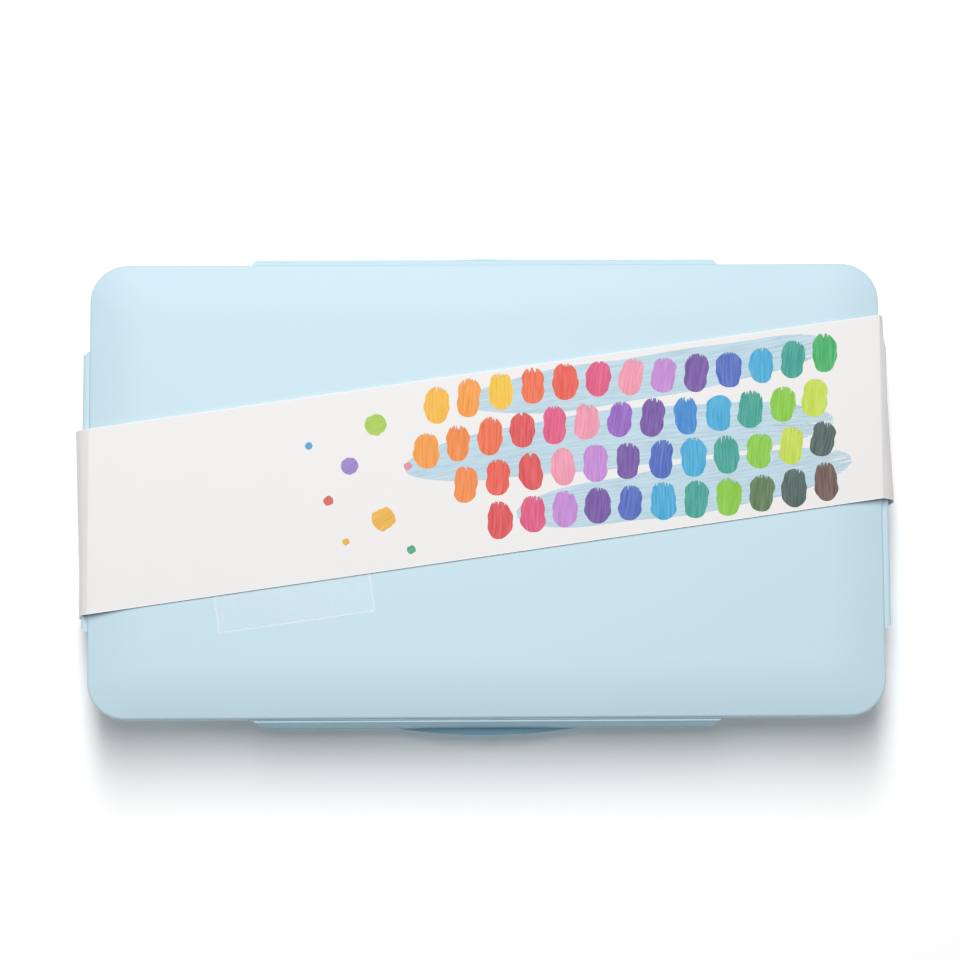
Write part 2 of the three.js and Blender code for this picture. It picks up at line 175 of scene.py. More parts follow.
class BrushSettings(PropertyGroup):
    strands: IntProperty(name="Strands", description="Hairs of the brush", default=420, min=0, max=1500)
    strand_radius: length_of("Strand radius", "Of one hair", 0.11)
    tip: length_of("Tip", "Thickness of the tuft at its tip", 1.6)
    ferrule_flat: length_of("Ferrule's flat end", "Its thickness", 5)
    ferrule_round: length_of("Ferrule's round end", "Its diameter", 6.8)
    crimp: length_of("Crimp", "Depth of the rings pressed into the ferrule", 0.22)
    hair: colour_of("Hair colour", "Synthetic hair", "#f4f1e8")
    metal: colour_of("Ferrule colour", "Pressed aluminium", "#d6d8da")
    acrylic: colour_of("Handle colour", "Clear tinted acrylic", "#cfeef0")


class BandSettings(PropertyGroup):
    width: length_of("Width", "Square to the slanted edges", 64)
    angle: FloatProperty(
        name="Angle", description="Slant of the band", default=math.radians(8.1), subtype="ANGLE"
    )
    middle: length_of("Middle", "How far to the back it crosses the box's middle", 8.7)
    thickness: length_of("Thickness", "Of the card", 0.4)
    crease_reach: length_of("Crease reach", "Of the upper creases beyond the plate's ends", 0.35)
    foot_reach: length_of("Foot reach", "Of the lower creases beyond the plate's ends", 0.2)
    crease_round: length_of("Crease round", "Radius of the creases", 0.7)
    tint: colour_of("Card colour", "Coated white card", "#eceae9")


class PrintSettings(PropertyGroup):
    dab_length: length_of("Dab length", "Along one printed dab of paint", 13)
    dab_width: length_of("Dab width", "Across one printed dab of paint", 8.4)
    wash: colour_of("Wash colour", "Pale ground behind the dabs", "#bdd9e6")


class StageSettings(PropertyGroup):
    key: power_of("Key light", "Power of the overhead soft light", 24.6)
    fill: power_of("Side fill", "Power of the lights at the sides", 1.9)
    world: FloatProperty(name="Surroundings", description="Strength of the even light", default=0.12)
    floor: colour_of("Table colour", "Pale table top", "#f2f2f3")


class PaintBoxSettings(PropertyGroup):
    lid: PointerProperty(type=LidSettings)
    flaps: PointerProperty(type=FlapSettings)
    tub: PointerProperty(type=TubSettings)
    cups: PointerProperty(type=CupSettings)
    brush: PointerProperty(type=BrushSettings)
    band: PointerProperty(type=BandSettings)
    artwork: PointerProperty(type=PrintSettings)
    stage: PointerProperty(type=StageSettings)


# Heights that the CAD nodes give


def plate_top():
    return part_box("lid_plate")[1].z


def rim_top():
    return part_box("base_tub")[1].z


def flap_foot():
    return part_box("flap_front")[0].z


# Shader expressions


class Value:
    """A socket in a shader expression. Arithmetic on it adds Math nodes."""

    def __init__(self, finish, socket):
        self.finish = finish
        self.socket = socket

    def math(self, operation, first, second):
        return self.finish.node("ShaderNodeMath", {"operation": operation}, {0: first, 1: second})

    def __add__(self, other):
        return self.math("ADD", self, other)

    def __radd__(self, other):
        return self.math("ADD", other, self)

    def __sub__(self, other):
        return self.math("SUBTRACT", self, other)

    def __rsub__(self, other):
        return self.math("SUBTRACT", other, self)

    def __mul__(self, other):
        return self.math("MULTIPLY", self, other)

    def __rmul__(self, other):
        return self.math("MULTIPLY", other, self)

    def __truediv__(self, other):
        return self.math("DIVIDE", self, other)


class Finish:
    """A procedural material: a Principled shader and what varies over the surface."""

    def __init__(self, name, **constants):
        self.material = bpy.data.materials.new(name)
        self.material.use_nodes = True
        self.tree = self.material.node_tree
        self.shader = self.tree.nodes["Principled BSDF"]
        for socket, value in constants.items():
            self.set(socket.replace("_", " ").title().replace("Ior", "IOR"), value)

    def set(self, socket, value):
        """Gives one of the shader's sockets a number, a colour or a link."""
        self.fill(self.shader.inputs[socket], value)

    def fill(self, socket, value):
        if isinstance(value, Value):
            self.tree.links.new(value.socket, socket)
        elif socket.type == "RGBA":
            socket.default_value = (*value, 1)
        else:
            socket.default_value = value

    def node(self, kind, settings=None, inputs=None, output=0):
        """Adds a node, with its settings first, such as a ramp's stops, and then its sockets."""
        node = self.tree.nodes.new(kind)
        for key, value in (settings or {}).items():
            if key == "stops":
                self.set_stops(node.color_ramp, value)
            else:
                setattr(node, key, value)
        for key, value in (inputs or {}).items():
            self.fill(node.inputs[key], value)
        return Value(self, node.outputs[output])

    @staticmethod
    def set_stops(ramp, stops):
        """Sets a ramp's stops, each a place from 0 to 1 and a grey level."""
        while len(ramp.elements) < len(stops):
            ramp.elements.new(0.5)
        for element, (place, level) in zip(ramp.elements, stops):
            element.position = place
            element.color = (level, level, level, 1)

    def place(self, stretch=(1, 1, 1), turn=0):
        """Object coordinates, turned about Z and stretched."""
        here = self.node("ShaderNodeTexCoord", output="Object")
        mapping = {"Vector": here, "Rotation": (0, 0, turn), "Scale": stretch}
        return self.node("ShaderNodeMapping", {}, mapping)

    def noise(self, scale, detail=2.0, stretch=(1, 1, 1), turn=0, where=None, roughness=0.5):
        """Smooth random grey from 0 to 1, about 0.5 in the mean, with that many ripples a metre."""
        inputs = {
            "Vector": where or self.place(stretch, turn),
            "Scale": scale,
            "Detail": detail,
            "Roughness": roughness,
        }
        return self.node("ShaderNodeTexNoise", {}, inputs)

    def mix(self, share, first, second, kind="MIX"):
        """Two colours mixed by a share from 0 to 1."""
        settings = {"data_type": "RGBA", "blend_type": kind}
        return self.node("ShaderNodeMix", settings, {0: share, 6: first, 7: second}, output=2)

    def ramp(self, value, stops):
        return self.node("ShaderNodeValToRGB", {"stops": stops}, {"Fac": value})

    def bump(self, height, distance, strength=1.0):
        """Lets the surface stand up where the height is high."""
        inputs = {"Height": height, "Distance": distance, "Strength": strength}
        self.set("Normal", self.node("ShaderNodeBump", {}, inputs))


def scaled(tint, factor):
    return tuple(min(1, channel * factor) for channel in tint)


def moulded_plastic(name, tint, roughness=0.48, gloss=0.45, face=None, crest=0.0):
    """Satin polypropylene: cloudy tint, fine spark-eroded grain and faint flow marks. A face tint
    takes over within half a millimetre below the crest's height: a painted shade, deeper and
    bluer, for faces that lie in shade."""
    finish = Finish(name, IOR=1.49, specular_ior_level=gloss)
    cloud = finish.noise(9, detail=3)
    flow = finish.noise(5, detail=1, stretch=(1, 4, 4), turn=0.5)
    base = finish.mix(cloud, scaled(tint, 0.985), scaled(tint, 1.015))
    if face:
        # Painted shade: below the crest's height the face tint takes over
        height = finish.node("ShaderNodeSeparateXYZ", {}, {0: finish.place()}, output="Z")
        below = finish.ramp((crest - height) / MM, [(0, 0), (0.5, 1)])
        base = finish.mix(below, base, finish.mix(cloud, scaled(face, 0.985), scaled(face, 1.015)))
    finish.set("Base Color", base)
    finish.set("Roughness", roughness - 0.04 + 0.06 * flow + 0.02 * cloud)
    grain = finish.noise(2600, detail=2)
    dimple = finish.noise(110, detail=1)
    finish.bump(grain + dimple * 2.5, 0.00002, 0.5)
    return finish.material


def coated_card(name, tint):
    """Smooth coated card: faint mottle, long fibres under the coating and a soft sheen, with a
    whiter tone along the cut edges, partly the core and partly a painted highlight where the edges catch the
    light."""
    finish = Finish(name, IOR=1.45, coat_roughness=0.35)
    mottle = finish.noise(60, detail=4)
    fibre = finish.noise(900, detail=3, stretch=(0.25, 1, 1), turn=0.14)
    cut = finish.node("ShaderNodeAttribute", {"attribute_name": "cut"}, output="Fac")
    coated = finish.mix(mottle, scaled(tint, 0.985), scaled(tint, 1.01))
    # Whiter along the cut edges: partly the card's core and partly a painted highlight
    finish.set("Base Color", finish.mix(cut, coated, (0.98, 0.975, 0.97)))
    finish.set("Roughness", 0.5 + 0.1 * fibre)
    finish.bump(fibre + mottle * 2, 0.00002, 0.5)
    return finish.material


# Shapes

# What Blender calls the values of each kind of attribute
FIELDS = {"FLOAT": "value", "FLOAT_VECTOR": "vector", "FLOAT_COLOR": "color"}


def ring(length, width, corner, z, middle=0.0, steps=12):
    """A rounded rectangle, anticlockwise from above: a quarter circle at each corner, about a
    centre that stands in from both sides by its radius. One radius may be given for each corner,
    from the back right one round to the front right one."""
    radii = np.broadcast_to(np.asarray(corner, float), 4)
    quarter = np.repeat(np.arange(4), steps + 1)
    share = np.tile(np.arange(steps + 1) / steps, 4)
    angle = (quarter + share) * np.pi / 2
    right = np.array([1, -1, -1, 1])[quarter]
    back = np.array([1, 1, -1, -1])[quarter]
    radius = radii[quarter]
    x = middle + right * (length / 2 - radius) + radius * np.cos(angle)
    y = back * (width / 2 - radius) + radius * np.sin(angle)
    return np.stack([x, y, np.broadcast_to(z, x.shape)], axis=-1)


def smooth_step(value):
    """A value held between 0 and 1 and eased there: three times its square less twice its cube."""
    value = np.clip(value, 0, 1)
    return value * value * (3 - 2 * value)


def smoothed(values, reach, **padding):
    """The mean of each value and its neighbours out to a reach, with the ends padded."""
    count = 2 * reach + 1
    return np.convolve(np.pad(values, reach, **padding), np.ones(count) / count, mode="valid")


def arc(start, end, steps):
    """Angles from start to end in degrees, as radians, both ends included."""
    return np.radians(np.linspace(start, end, steps + 1))


def grid_faces(rows, columns, wrap=False):
    """The quads between neighbouring rows and columns of a grid of points."""
    row = np.arange(rows - 1)[:, None] * columns
    column = np.arange(columns if wrap else columns - 1)[None, :]
    after = (column + 1) % columns
    corners = [row + column, row + after, row + columns + after, row + columns + column]
    return np.stack(corners, axis=-1).reshape(-1, 4).tolist()


def loft(levels):
    """Rings of equal count joined one to the next, with a flat face over the first and last."""
    levels = np.asarray(levels)
    rows, columns = levels.shape[:2]
    faces = grid_faces(rows, columns, wrap=True)
    faces.append(list(range(columns))[::-1])
    faces.append(list(range((rows - 1) * columns, rows * columns)))
    return levels.reshape(-1, 3), faces


def slab(outer, inner):
    """Two grids of equal size a wall apart, joined round their borders into a closed shell."""
    rows, columns = outer.shape[:2]
    count = rows * columns
    number = np.arange(count).reshape(rows, columns)
    border = np.concatenate([number[0, :-1], number[:-1, -1], number[-1, :0:-1], number[:0:-1, 0]])
    after = np.roll(border, -1)
    rim = np.stack([after, border, border + count, after + count], axis=-1).tolist()
    face = np.array(grid_faces(rows, columns))
    back = (face[:, ::-1] + count).tolist()
    points = np.concatenate([outer.reshape(-1, 3), inner.reshape(-1, 3)])
    return points, face.tolist() + back + rim


def together(*shapes):
    """Several shapes as one list of points and one of faces."""
    points, faces, start = [], [], 0
    for shape_points, shape_faces in shapes:
        points.append(shape_points)
        faces += [[corner + start for corner in face] for face in shape_faces]
        start += len(shape_points)
    return np.concatenate(points), faces


def turned(shape, angle, move=(0, 0, 0)):
    """A shape turned about Z and then moved."""
    points, faces = shape
    c, s = math.cos(angle), math.sin(angle)
    matrix = np.array([[c, s, 0], [-s, c, 0], [0, 0, 1]])
    return points @ matrix + np.asarray(move), faces


def make_piece(name, shape, body, finish, stands_for=(), edge=0.0, crease=35, values=None):
    """Makes one closed piece that rides on a body, if one is named. Its faces are turned outwards,
    edges sharper than the crease angle stay crisp, and edge is the radius that they are rounded
    to. Values are attributes of the points, each a kind and its numbers."""
    points, faces = shape
    mesh = bpy.data.meshes.new(name)
    mesh.from_pydata(points.tolist(), [], faces)
    for key, (kind, numbers) in (values or {}).items():
        attribute = mesh.attributes.new(key, kind, "POINT")
        attribute.data.foreach_set(FIELDS[kind], np.asarray(numbers, np.float32).ravel())
    work = bmesh.new()
    work.from_mesh(mesh)
    bmesh.ops.remove_doubles(work, verts=work.verts, dist=0.000001)
    bmesh.ops.recalc_face_normals(work, faces=work.faces)
    work.to_mesh(mesh)
    work.free()
    mesh.shade_smooth()
    mesh.set_sharp_from_angle(angle=math.radians(crease))
    mesh.materials.append(finish)
    piece = bpy.data.objects.new(name, mesh)
    bpy.context.scene.collection.objects.link(piece)
    if edge:
        bevel = piece.modifiers.new("Rounded edges", "BEVEL")
        bevel.width = edge
        bevel.segments = 3
        bevel.limit_method = "ANGLE"
        bevel.angle_limit = math.radians(crease)
    if body:
        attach(piece, body)
    if stands_for:
        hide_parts(*stands_for)
    return piece


# Lid


def lid_levels(lid, tub):
    """Rings of the lid, each the plate's outline drawn in by an inset: out under the crown and
    over the rim, down inside the skirt, round its foot, up the outside, round the edge by a
    quarter circle and up the shoulder, which falls with the square of the way out."""
    top = plate_top()
    edge_top = top - lid.crown_rise
    under = edge_top - lid.rim_wall
    foot = under - lid.skirt
    skirt_inset = tub.inset - lid.skirt_gap
    inner_corner = tub.corner + lid.skirt_gap
    rim_inset = tub.inset + tub.rim_width
    foot_round = 0.35 * MM
    shoulder_start = 1.3 * MM
    shoulder_angle = 78

    def level(inset, corner, z):
        return ring(lid.length - 2 * inset, lid.width - 2 * inset, corner, z, steps=18)

    def slope(inset):
        share = (lid.shoulder - inset) / (lid.shoulder - lid.edge_round)
        corner = lid.crown_corner + (lid.corner - lid.edge_round - lid.crown_corner) * share
        return level(inset, corner, top - lid.crown_rise * share**2)

    hollow = [
        level(lid.shoulder, lid.crown_corner, top - lid.wall),
        level(rim_inset, tub.corner - tub.rim_width, under),
        level(skirt_inset, inner_corner, under),
    ]
    skirt = [level(skirt_inset, inner_corner, foot + foot_round)]
    for angle in arc(0, 90, 4):
        inset = skirt_inset - foot_round * (1 - math.cos(angle))
        skirt.append(level(inset, inner_corner, foot + foot_round * (1 - math.sin(angle))))
    for angle in arc(90, 0, 4):
        inset = foot_round * (1 - math.cos(angle))
        skirt.append(level(inset, lid.corner - inset, foot + foot_round * (1 - math.sin(angle))))
    edge = []
    for angle in arc(0, shoulder_angle, 7):
        inset = lid.edge_round * (1 - math.cos(angle))
        z = edge_top - lid.edge_round * (1 - math.sin(angle))
        edge.append(level(inset, lid.corner - inset, z))
    shoulder = [slope(inset) for inset in np.linspace(shoulder_start, lid.shoulder, 22)]
    return hollow + skirt + edge + shoulder


class PAINTBOX_OT_lid(Operator):
    """Makes the lid plate with its raised middle, soft shoulder and skirt"""

    bl_idname = "paintbox.lid"
    bl_label = "Lid"

    def execute(self, context):
        settings = context.scene.paint_box
        finish = moulded_plastic("lid satin plastic", settings.lid.tint)
        shape = loft(lid_levels(settings.lid, settings.tub))
        make_piece("lid_shell", shape, "lid", finish, ["lid_plate"], crease=50)
        return {"FINISHED"}


# Flaps

# The turn that points outward on each side
SIDES = {"front": math.pi, "back": 0, "left": math.pi / 2, "right": -math.pi / 2}

# A crest's outline, outward from the flap's outer face and upward from the crest, in millimetres:
# a thin low ridge on the front flap and a round shoulder on the others
RIDGE = ((-0.45, 0), (-0.36, 0.1), (-0.28, 0.22), (-0.2, 0.25), (-0.12, 0.22), (-0.04, 0.08), (0, -0.2))
SHOULDER = ((-0.9, 0), (-0.6, -0.05), (-0.35, -0.16), (-0.15, -0.36), (-0.04, -0.6), (0, -0.9))

# How each flap fits, in metres: its width at the top, how far its crest and the groove beside the
# plate lie below its axis, the tuck of its foot inside the CAD part's, how far each end stands
# out beyond the CAD part's, and the crest's outline
FlapFit = namedtuple("FlapFit", "width drop groove tuck stand outline")
FLAP_FIT = {
    "front": FlapFit(1.15 * MM, 0.97 * MM, 0.3 * MM, 0.55 * MM, 0.6 * MM, RIDGE),
    "back": FlapFit(1.8 * MM, 0.5 * MM, 0.52 * MM, 0.2 * MM, 0.7 * MM, SHOULDER),
    "left": FlapFit(2.2 * MM, 0.5 * MM, 0.52 * MM, 0.5 * MM, -0.3 * MM, SHOULDER),
    "right": FlapFit(2.2 * MM, 0.5 * MM, 0.52 * MM, 0.5 * MM, -0.3 * MM, SHOULDER),
}

# Between the plate's edge and a flap
HINGE_GAP = 0.05 * MM


def side_place(lid, side):
    """The middle of the plate's edge on a side."""
    across = {"front": -1, "back": 1}.get(side, 0) * lid.width / 2
    along = {"left": -1, "right": 1}.get(side, 0) * lid.length / 2
    return along, across, 0


def side_span(node, side):
    """Length along the side, and reach beyond the plate's edge, of a CAD node that hangs there."""
    low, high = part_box(node)
    along, out = (0, 1) if side in ("front", "back") else (1, 0)
    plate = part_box("lid_plate")[1][out]
    return high[along] - low[along], max(high[out], -low[out]) - plate


def flap_axis(flaps):
    """The height of the axis that the flaps turn about."""
    return plate_top() - flaps.crest_drop - 0.75 * MM


def flap_shape(flaps, fit, length, reach):
    """The flap in its own place: X along it, Y outward from the plate's edge. Its outer face
    follows the crest's outline, then leans out downward, and its last bit flares with the square
    of the way down. The inner face lies a width inside it and stays below the crest. The half
    length draws in evenly outward across the top, evenly downward, and at the foot by a quarter
    circle, so the ends are bevelled and slanted and the lower corners round."""
    width, drop = fit.width, fit.drop
    axis = flap_axis(flaps)
    root = HINGE_GAP + width
    foot = flap_foot()
    bend = foot + flaps.corner
    round_end = foot + flaps.corner * (1 - np.cos(arc(90, 0, 14)))
    crest = np.array(fit.outline[:-1])
    shoulder = axis - drop + fit.outline[-1][1] * MM
    z = np.concatenate([np.linspace(shoulder, bend, 7)[:-1], round_end])
    face = reach - flaps.flare
    lean = (face - root) / (axis - foot - flaps.flare_height)
    turn = np.clip(1 - (z - foot) / flaps.flare_height, 0, 1)
    out = root + lean * (axis - z) + (flaps.flare - lean * flaps.flare_height) * turn**2
    outer = np.concatenate([root + crest[:, 0] * MM, out])
    z_outer = np.concatenate([axis - drop + crest[:, 1] * MM, z])
    below_crest, step_down = 0.03 * MM, 0.01 * MM
    lowered = axis - drop - below_crest - np.arange(len(z_outer)) * step_down
    z_inner = np.minimum(z_outer, lowered)
    inner = np.interp(-z_inner, -z, out) - width
    inner[0] += 0.3 * MM
    below = np.clip((bend - z_outer) / flaps.corner, 0, 1)
    slant = flaps.end_slant * np.clip((axis - z_outer) / (axis - foot), 0, 1)
    bevel = flaps.end_bevel * np.clip((outer - HINGE_GAP) / width, 0, 1)
    half = length / 2 - bevel - slant - flaps.corner * (1 - np.sqrt(1 - below**2))
    inner_half = np.concatenate([[length / 2], half[1:]])

    def grid(across, height, half_length):
        along = np.linspace(-1, 1, 33)[None, :] * half_length[:, None]
        places = (np.broadcast_to(values[:, None], along.shape) for values in (across, height))
        return np.stack([along, *places], axis=-1)

    return slab(grid(outer, z_outer, half), grid(inner, z_inner, inner_half))


def rail(section, length):
    """A section of outward and upward measures, carried straight along X as a closed bar."""
    section = np.asarray(section, float)
    ends = (-length / 2, length / 2)
    return loft([np.column_stack([np.full(len(section), x), section]) for x in ends])


def snap_hook(flaps, face):
    """The hook inside a flap's foot, which reaches in under the ledge and slopes at its nose."""
    top = flap_foot() + flaps.flare_height + flaps.hook_height
    low = top - flaps.hook_height
    root, nose = face + 0.5 * MM, -0.6 * MM
    section = [(root, low), (root, top), (nose, top), (nose, top - flaps.hook_height / 2)]
    return rail(section, flaps.hook_length)


def groove_tongue(axis, groove, length):
    """The tongue of a flap that closes the groove from below, with its upper edges bevelled."""
    top, low = axis - groove, axis - 1.06 * MM
    near, far = HINGE_GAP, 0.33 * MM
    bevel = 0.08 * MM
    section = [
        (near, low),
        (far, low),
        (far, top - bevel),
        (far - bevel, top),
        (near + 0.07 * MM, top),
        (near, top - bevel),
    ]
    return rail(section, length)


def hinge_web(axis, width, length):
    """The thin web that joins a flap to the plate: a flat bar under the groove."""
    top, low = axis - 0.98 * MM, axis - 1.3 * MM
    near, far = -0.3 * MM, width - HINGE_GAP
    return rail([(near, low), (far, low), (far, top), (near, top)], length)


class PAINTBOX_OT_flaps(Operator):
    """Makes the four snap flaps with their hooks, and the thin webs that they hinge on"""

    bl_idname = "paintbox.flaps"
    bl_label = "Flaps"

    def execute(self, context):
        settings = context.scene.paint_box
        lid, flaps = settings.lid, settings.flaps
        axis = flap_axis(flaps)
        # Below this height the front and back flaps' faces take a painted shade; the side flaps keep the
        # lid's plain tint
        crest = axis - 0.9 * MM
        pale = moulded_plastic("side flap satin plastic", lid.tint, 0.55, 0.4)
        shaded_flaps = moulded_plastic("flap satin plastic", lid.tint, 0.55, 0.4, flaps.tint, crest)
        for side, turn in SIDES.items():
            fit = FLAP_FIT[side]
            finish = shaded_flaps if side in ("front", "back") else pale
            node = f"flap_{side}"
            place = side_place(lid, side)
            length, reach = side_span(node, side)
            reach -= fit.tuck
            length += 2 * fit.stand
            flap = flap_shape(flaps, fit, length, reach)
            hook = snap_hook(flaps, reach - flaps.flare - fit.width)
            tongue = groove_tongue(axis, fit.groove, length - 0.4 * MM)
            shape = turned(together(flap, hook, tongue), turn, place)
            name, body = f"{node}_moulding", f"{side}_flap"
            make_piece(name, shape, body, finish, [node], edge=0.25 * MM)
            web = hinge_web(axis, fit.width, length - 2.2 * flaps.end_bevel)
            web = turned(web, turn, place)
            make_piece(f"hinge_web_{side}", web, "lid", finish)
        return {"FINISHED"}


# Tub


def tub_levels(lid, tub):
    """Rings of the tub: round the foot by a quarter circle, up the leaning outer wall, over the
    round-edged rim, down inside it and along the thinner wall to a round-edged floor."""
    top = rim_top()
    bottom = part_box("base_tub")[0].z
    height = top - bottom
    length = lid.length - 2 * tub.inset
    width = lid.width - 2 * tub.inset

    def level(inset, z, leaning=True):
        inset += tub.draft * (top - z) / height if leaning else 0
        corner = max(tub.corner - inset, 0.5 * MM)
        return ring(length - 2 * inset, width - 2 * inset, corner, z, steps=14)

    def bend(inset, z, radius, start, end, leaning=True):
        """Rings round a circle about a point that far in and that high."""
        return [
            level(inset - radius * math.cos(angle), z + radius * math.sin(angle), leaning)
            for angle in arc(start, end, 5)
        ]

    foot, rim = tub.foot_round, tub.rim_round
    inner_rim = 0.5 * MM
    floor_round = 2 * MM
    skirt_foot = top - 5.7 * MM
    return [
        *bend(foot, bottom + foot, foot, -90, 0),
        level(0, skirt_foot),
        *bend(rim, top - rim, rim, 0, 90, leaning=False),
        *bend(tub.rim_width - inner_rim, top - inner_rim, inner_rim, 90, 180, leaning=False),
        level(tub.rim_width, top - tub.rim_depth, leaning=False),
        level(tub.wall, top - tub.rim_depth - tub.rim_width / 2),
        level(tub.wall, bottom + tub.wall + floor_round),
        level(tub.wall + floor_round, bottom + tub.wall),
    ]


def thumb_lip(tub):
    """The thumb lip in its own place, Y outward from the plate's edge: a flat slab whose front
    edge is an arc through the lip's two ends and its crest."""
    top = flap_foot() - 0.3 * MM
    half = tub.lip_length / 2
    radius = (half**2 + tub.lip_swell**2) / (2 * tub.lip_swell)
    sweep = math.asin(half / radius)
    angle = np.linspace(-sweep, sweep, 41)
    root = -tub.inset - tub.draft
    edge = tub.lip_reach - radius * (1 - np.cos(angle))
    share = np.linspace(0, 1, 5)[:, None]
    x = np.broadcast_to(radius * np.sin(angle), (5, len(angle)))
    y = root + (edge - root) * share
    upper = np.stack([x, y, np.full(x.shape, top)], -1)
    return slab(upper, upper - [0, 0, tub.lip_thickness])


def snap_ledge(flaps, tub):
    """The ledge over a flap's hook: flat below, and sloped above so that it would mould."""
    low = flap_foot() + flaps.flare_height + flaps.hook_height + 0.3 * MM
    root, nose = -tub.inset - tub.draft, -0.9 * MM
    section = [(root, low), (nose, low), (nose, low + 0.8 * MM), (root, low + 2.8 * MM)]
    return rail(section, tub.ledge_length)


class PAINTBOX_OT_tub(Operator):
    """Makes the tub with its snap ledges and thumb lips, and gives the cup rack its finish"""

    bl_idname = "paintbox.tub"
    bl_label = "Tub and rack"

    def execute(self, context):
        settings = context.scene.paint_box
        lid, flaps, tub = settings.lid, settings.flaps, settings.tub
        # The tub and its ledges carry a painted shade in their deeper tint
        finish = moulded_plastic("tub plastic with painted shade", tub.tint, 0.5, 0.4)
        shape = loft(tub_levels(lid, tub))
        make_piece("tub_shell", shape, "base", finish, ["base_tub"], crease=45)
        for side, turn in SIDES.items():
            bar = turned(snap_ledge(flaps, tub), turn, side_place(lid, side))
            make_piece(f"snap_ledge_{side}", bar, "base", finish, edge=0.2 * MM)
        # The thumb lips carry a painted shade in their deeper tint
        finish = moulded_plastic("lip plastic with painted shade", tub.lip_painted_shade_tint, 0.5, 0.4)
        for side in ("front", "back"):
            lip = turned(thumb_lip(tub), SIDES[side], side_place(lid, side))
            make_piece(f"thumb_lip_{side}", lip, "base", finish, edge=0.5 * MM)
        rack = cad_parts["cup_rack"]
        rack.data.materials.clear()
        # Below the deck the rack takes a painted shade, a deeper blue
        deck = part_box("cup_rack")[1].z - 0.6 * MM
        finish = moulded_plastic("rack plastic with painted trough shade", tub.rack_tint, 0.42, 0.5, tub.trough_painted_shade_tint, deck)
        rack.data.materials.append(finish)
        return {"FINISHED"}


# Cups and paint

ROWS = ("front", "middle", "back")
COLUMNS = 6

# Each row's twelve fills, from left to right, as a common assortment of gouache in the order of its
# pigments: whites, yellows and oranges, then reds, violets and blues, then greens, earths and black
PAINTS = {
    "back": (
        "#f7f7f2 #f5ecd0 #fff2a0 #fbe44d #fbd012 #f7b500 #d9a441 #fad7b0 #fba54a #f58220 #ef5b2b #ff8e72"
    ).split(),
    "middle": (
        "#e03c31 #b3203d #e05a87 #f9c6cf #c8a8e0 #7d4ba0 #4c2f6b #2e3f9e #2c5fb8 #2a93d0 #8ec9ea #1d3b5c"
    ).split(),
    "front": (
        "#1fb0a8 #1c8a70 #15a05a #58b13c #a9d040 #74803a #2f5d45 #b9793a #9a4f2c #5c3a2c #8b8f94 #2b2b2e"
    ).split(),
}


# The bead round a chamber's mouth: how far out each ring lies, in millimetres, and how high, as a
# share of the bead's height
BEAD_RINGS = ((0.15, 0.8), (0.5, 1), (0.95, 0.7), (1.15, 0))

# Between a fill and its chamber's wall
FILL_GAP = 0.08 * MM


def cup_node(row, column):
    return f"twin_cup_{row}_{column + 1}"


def chamber_size(cups, grow, z, top):
    """A chamber's length, width and corner at a height, grown by a wall and drawn in evenly
    towards the foot."""
    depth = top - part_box(cup_node("front", 0))[0].z
    lean = cups.draft * (top - z) / depth
    corner = cups.chamber_corner + grow - lean / 2
    return cups.chamber_length + 2 * (grow - lean), cups.chamber_width + 2 * (grow - lean), corner


def half_cup(cups, low, high, hand):
    """One chamber of a twin cup with its half of the flange, as one closed surface of rings: up
    inside from the floor, over the bead, out to the flange's edge, back under it and down outside."""
    top, foot = high.z, low.z
    flange_length, flange_width = high.x - low.x, high.y - low.y
    centre = hand * (cups.chamber_length + cups.divider) / 2

    def chamber(grow, z, shrink=0.0):
        length, width, corner = chamber_size(cups, grow - shrink, z, top)
        return ring(length, width, corner, z, centre, steps=6)

    def foot_bend(grow, z, start, end):
        """Rings round the quarter circle between a chamber's wall and its floor."""
        return [
            chamber(grow, z + soft * (1 - math.sin(angle)), soft * (1 - math.cos(angle)))
            for angle in arc(start, end, 4)
        ]

    def flange(inset, z):
        """Half of the flange: round corners outside, nearly square ones at the middle line."""
        seam = 0.06 * MM
        length = flange_length / 2 - seam - inset
        outer, inner = cups.flange_corner - inset, 0.3 * MM
        corners = (outer, inner, inner, outer) if hand > 0 else (inner, outer, outer, inner)
        return ring(length, flange_width - 2 * inset, corners, z, hand * (seam + length / 2), steps=6)

    soft = 1.6 * MM
    edge, chamfer = 0.25 * MM, 0.07 * MM
    under = top - cups.flange_thickness
    inside = [*foot_bend(0, foot + cups.wall, 90, 0), chamber(0, top - 0.2 * MM)]
    bead = [chamber(out * MM, top + cups.bead * share) for out, share in BEAD_RINGS]
    rim = [
        flange(edge, top),
        flange(chamfer, top - chamfer),
        flange(0, top - edge),
        flange(0, under + edge),
        flange(edge, under),
    ]
    outside = [
        chamber(cups.wall + 0.3 * MM, under),
        chamber(cups.wall, under - 0.4 * MM),
        *foot_bend(cups.wall, foot, 0, 90),
    ]
    return loft(inside + bead + rim + outside)


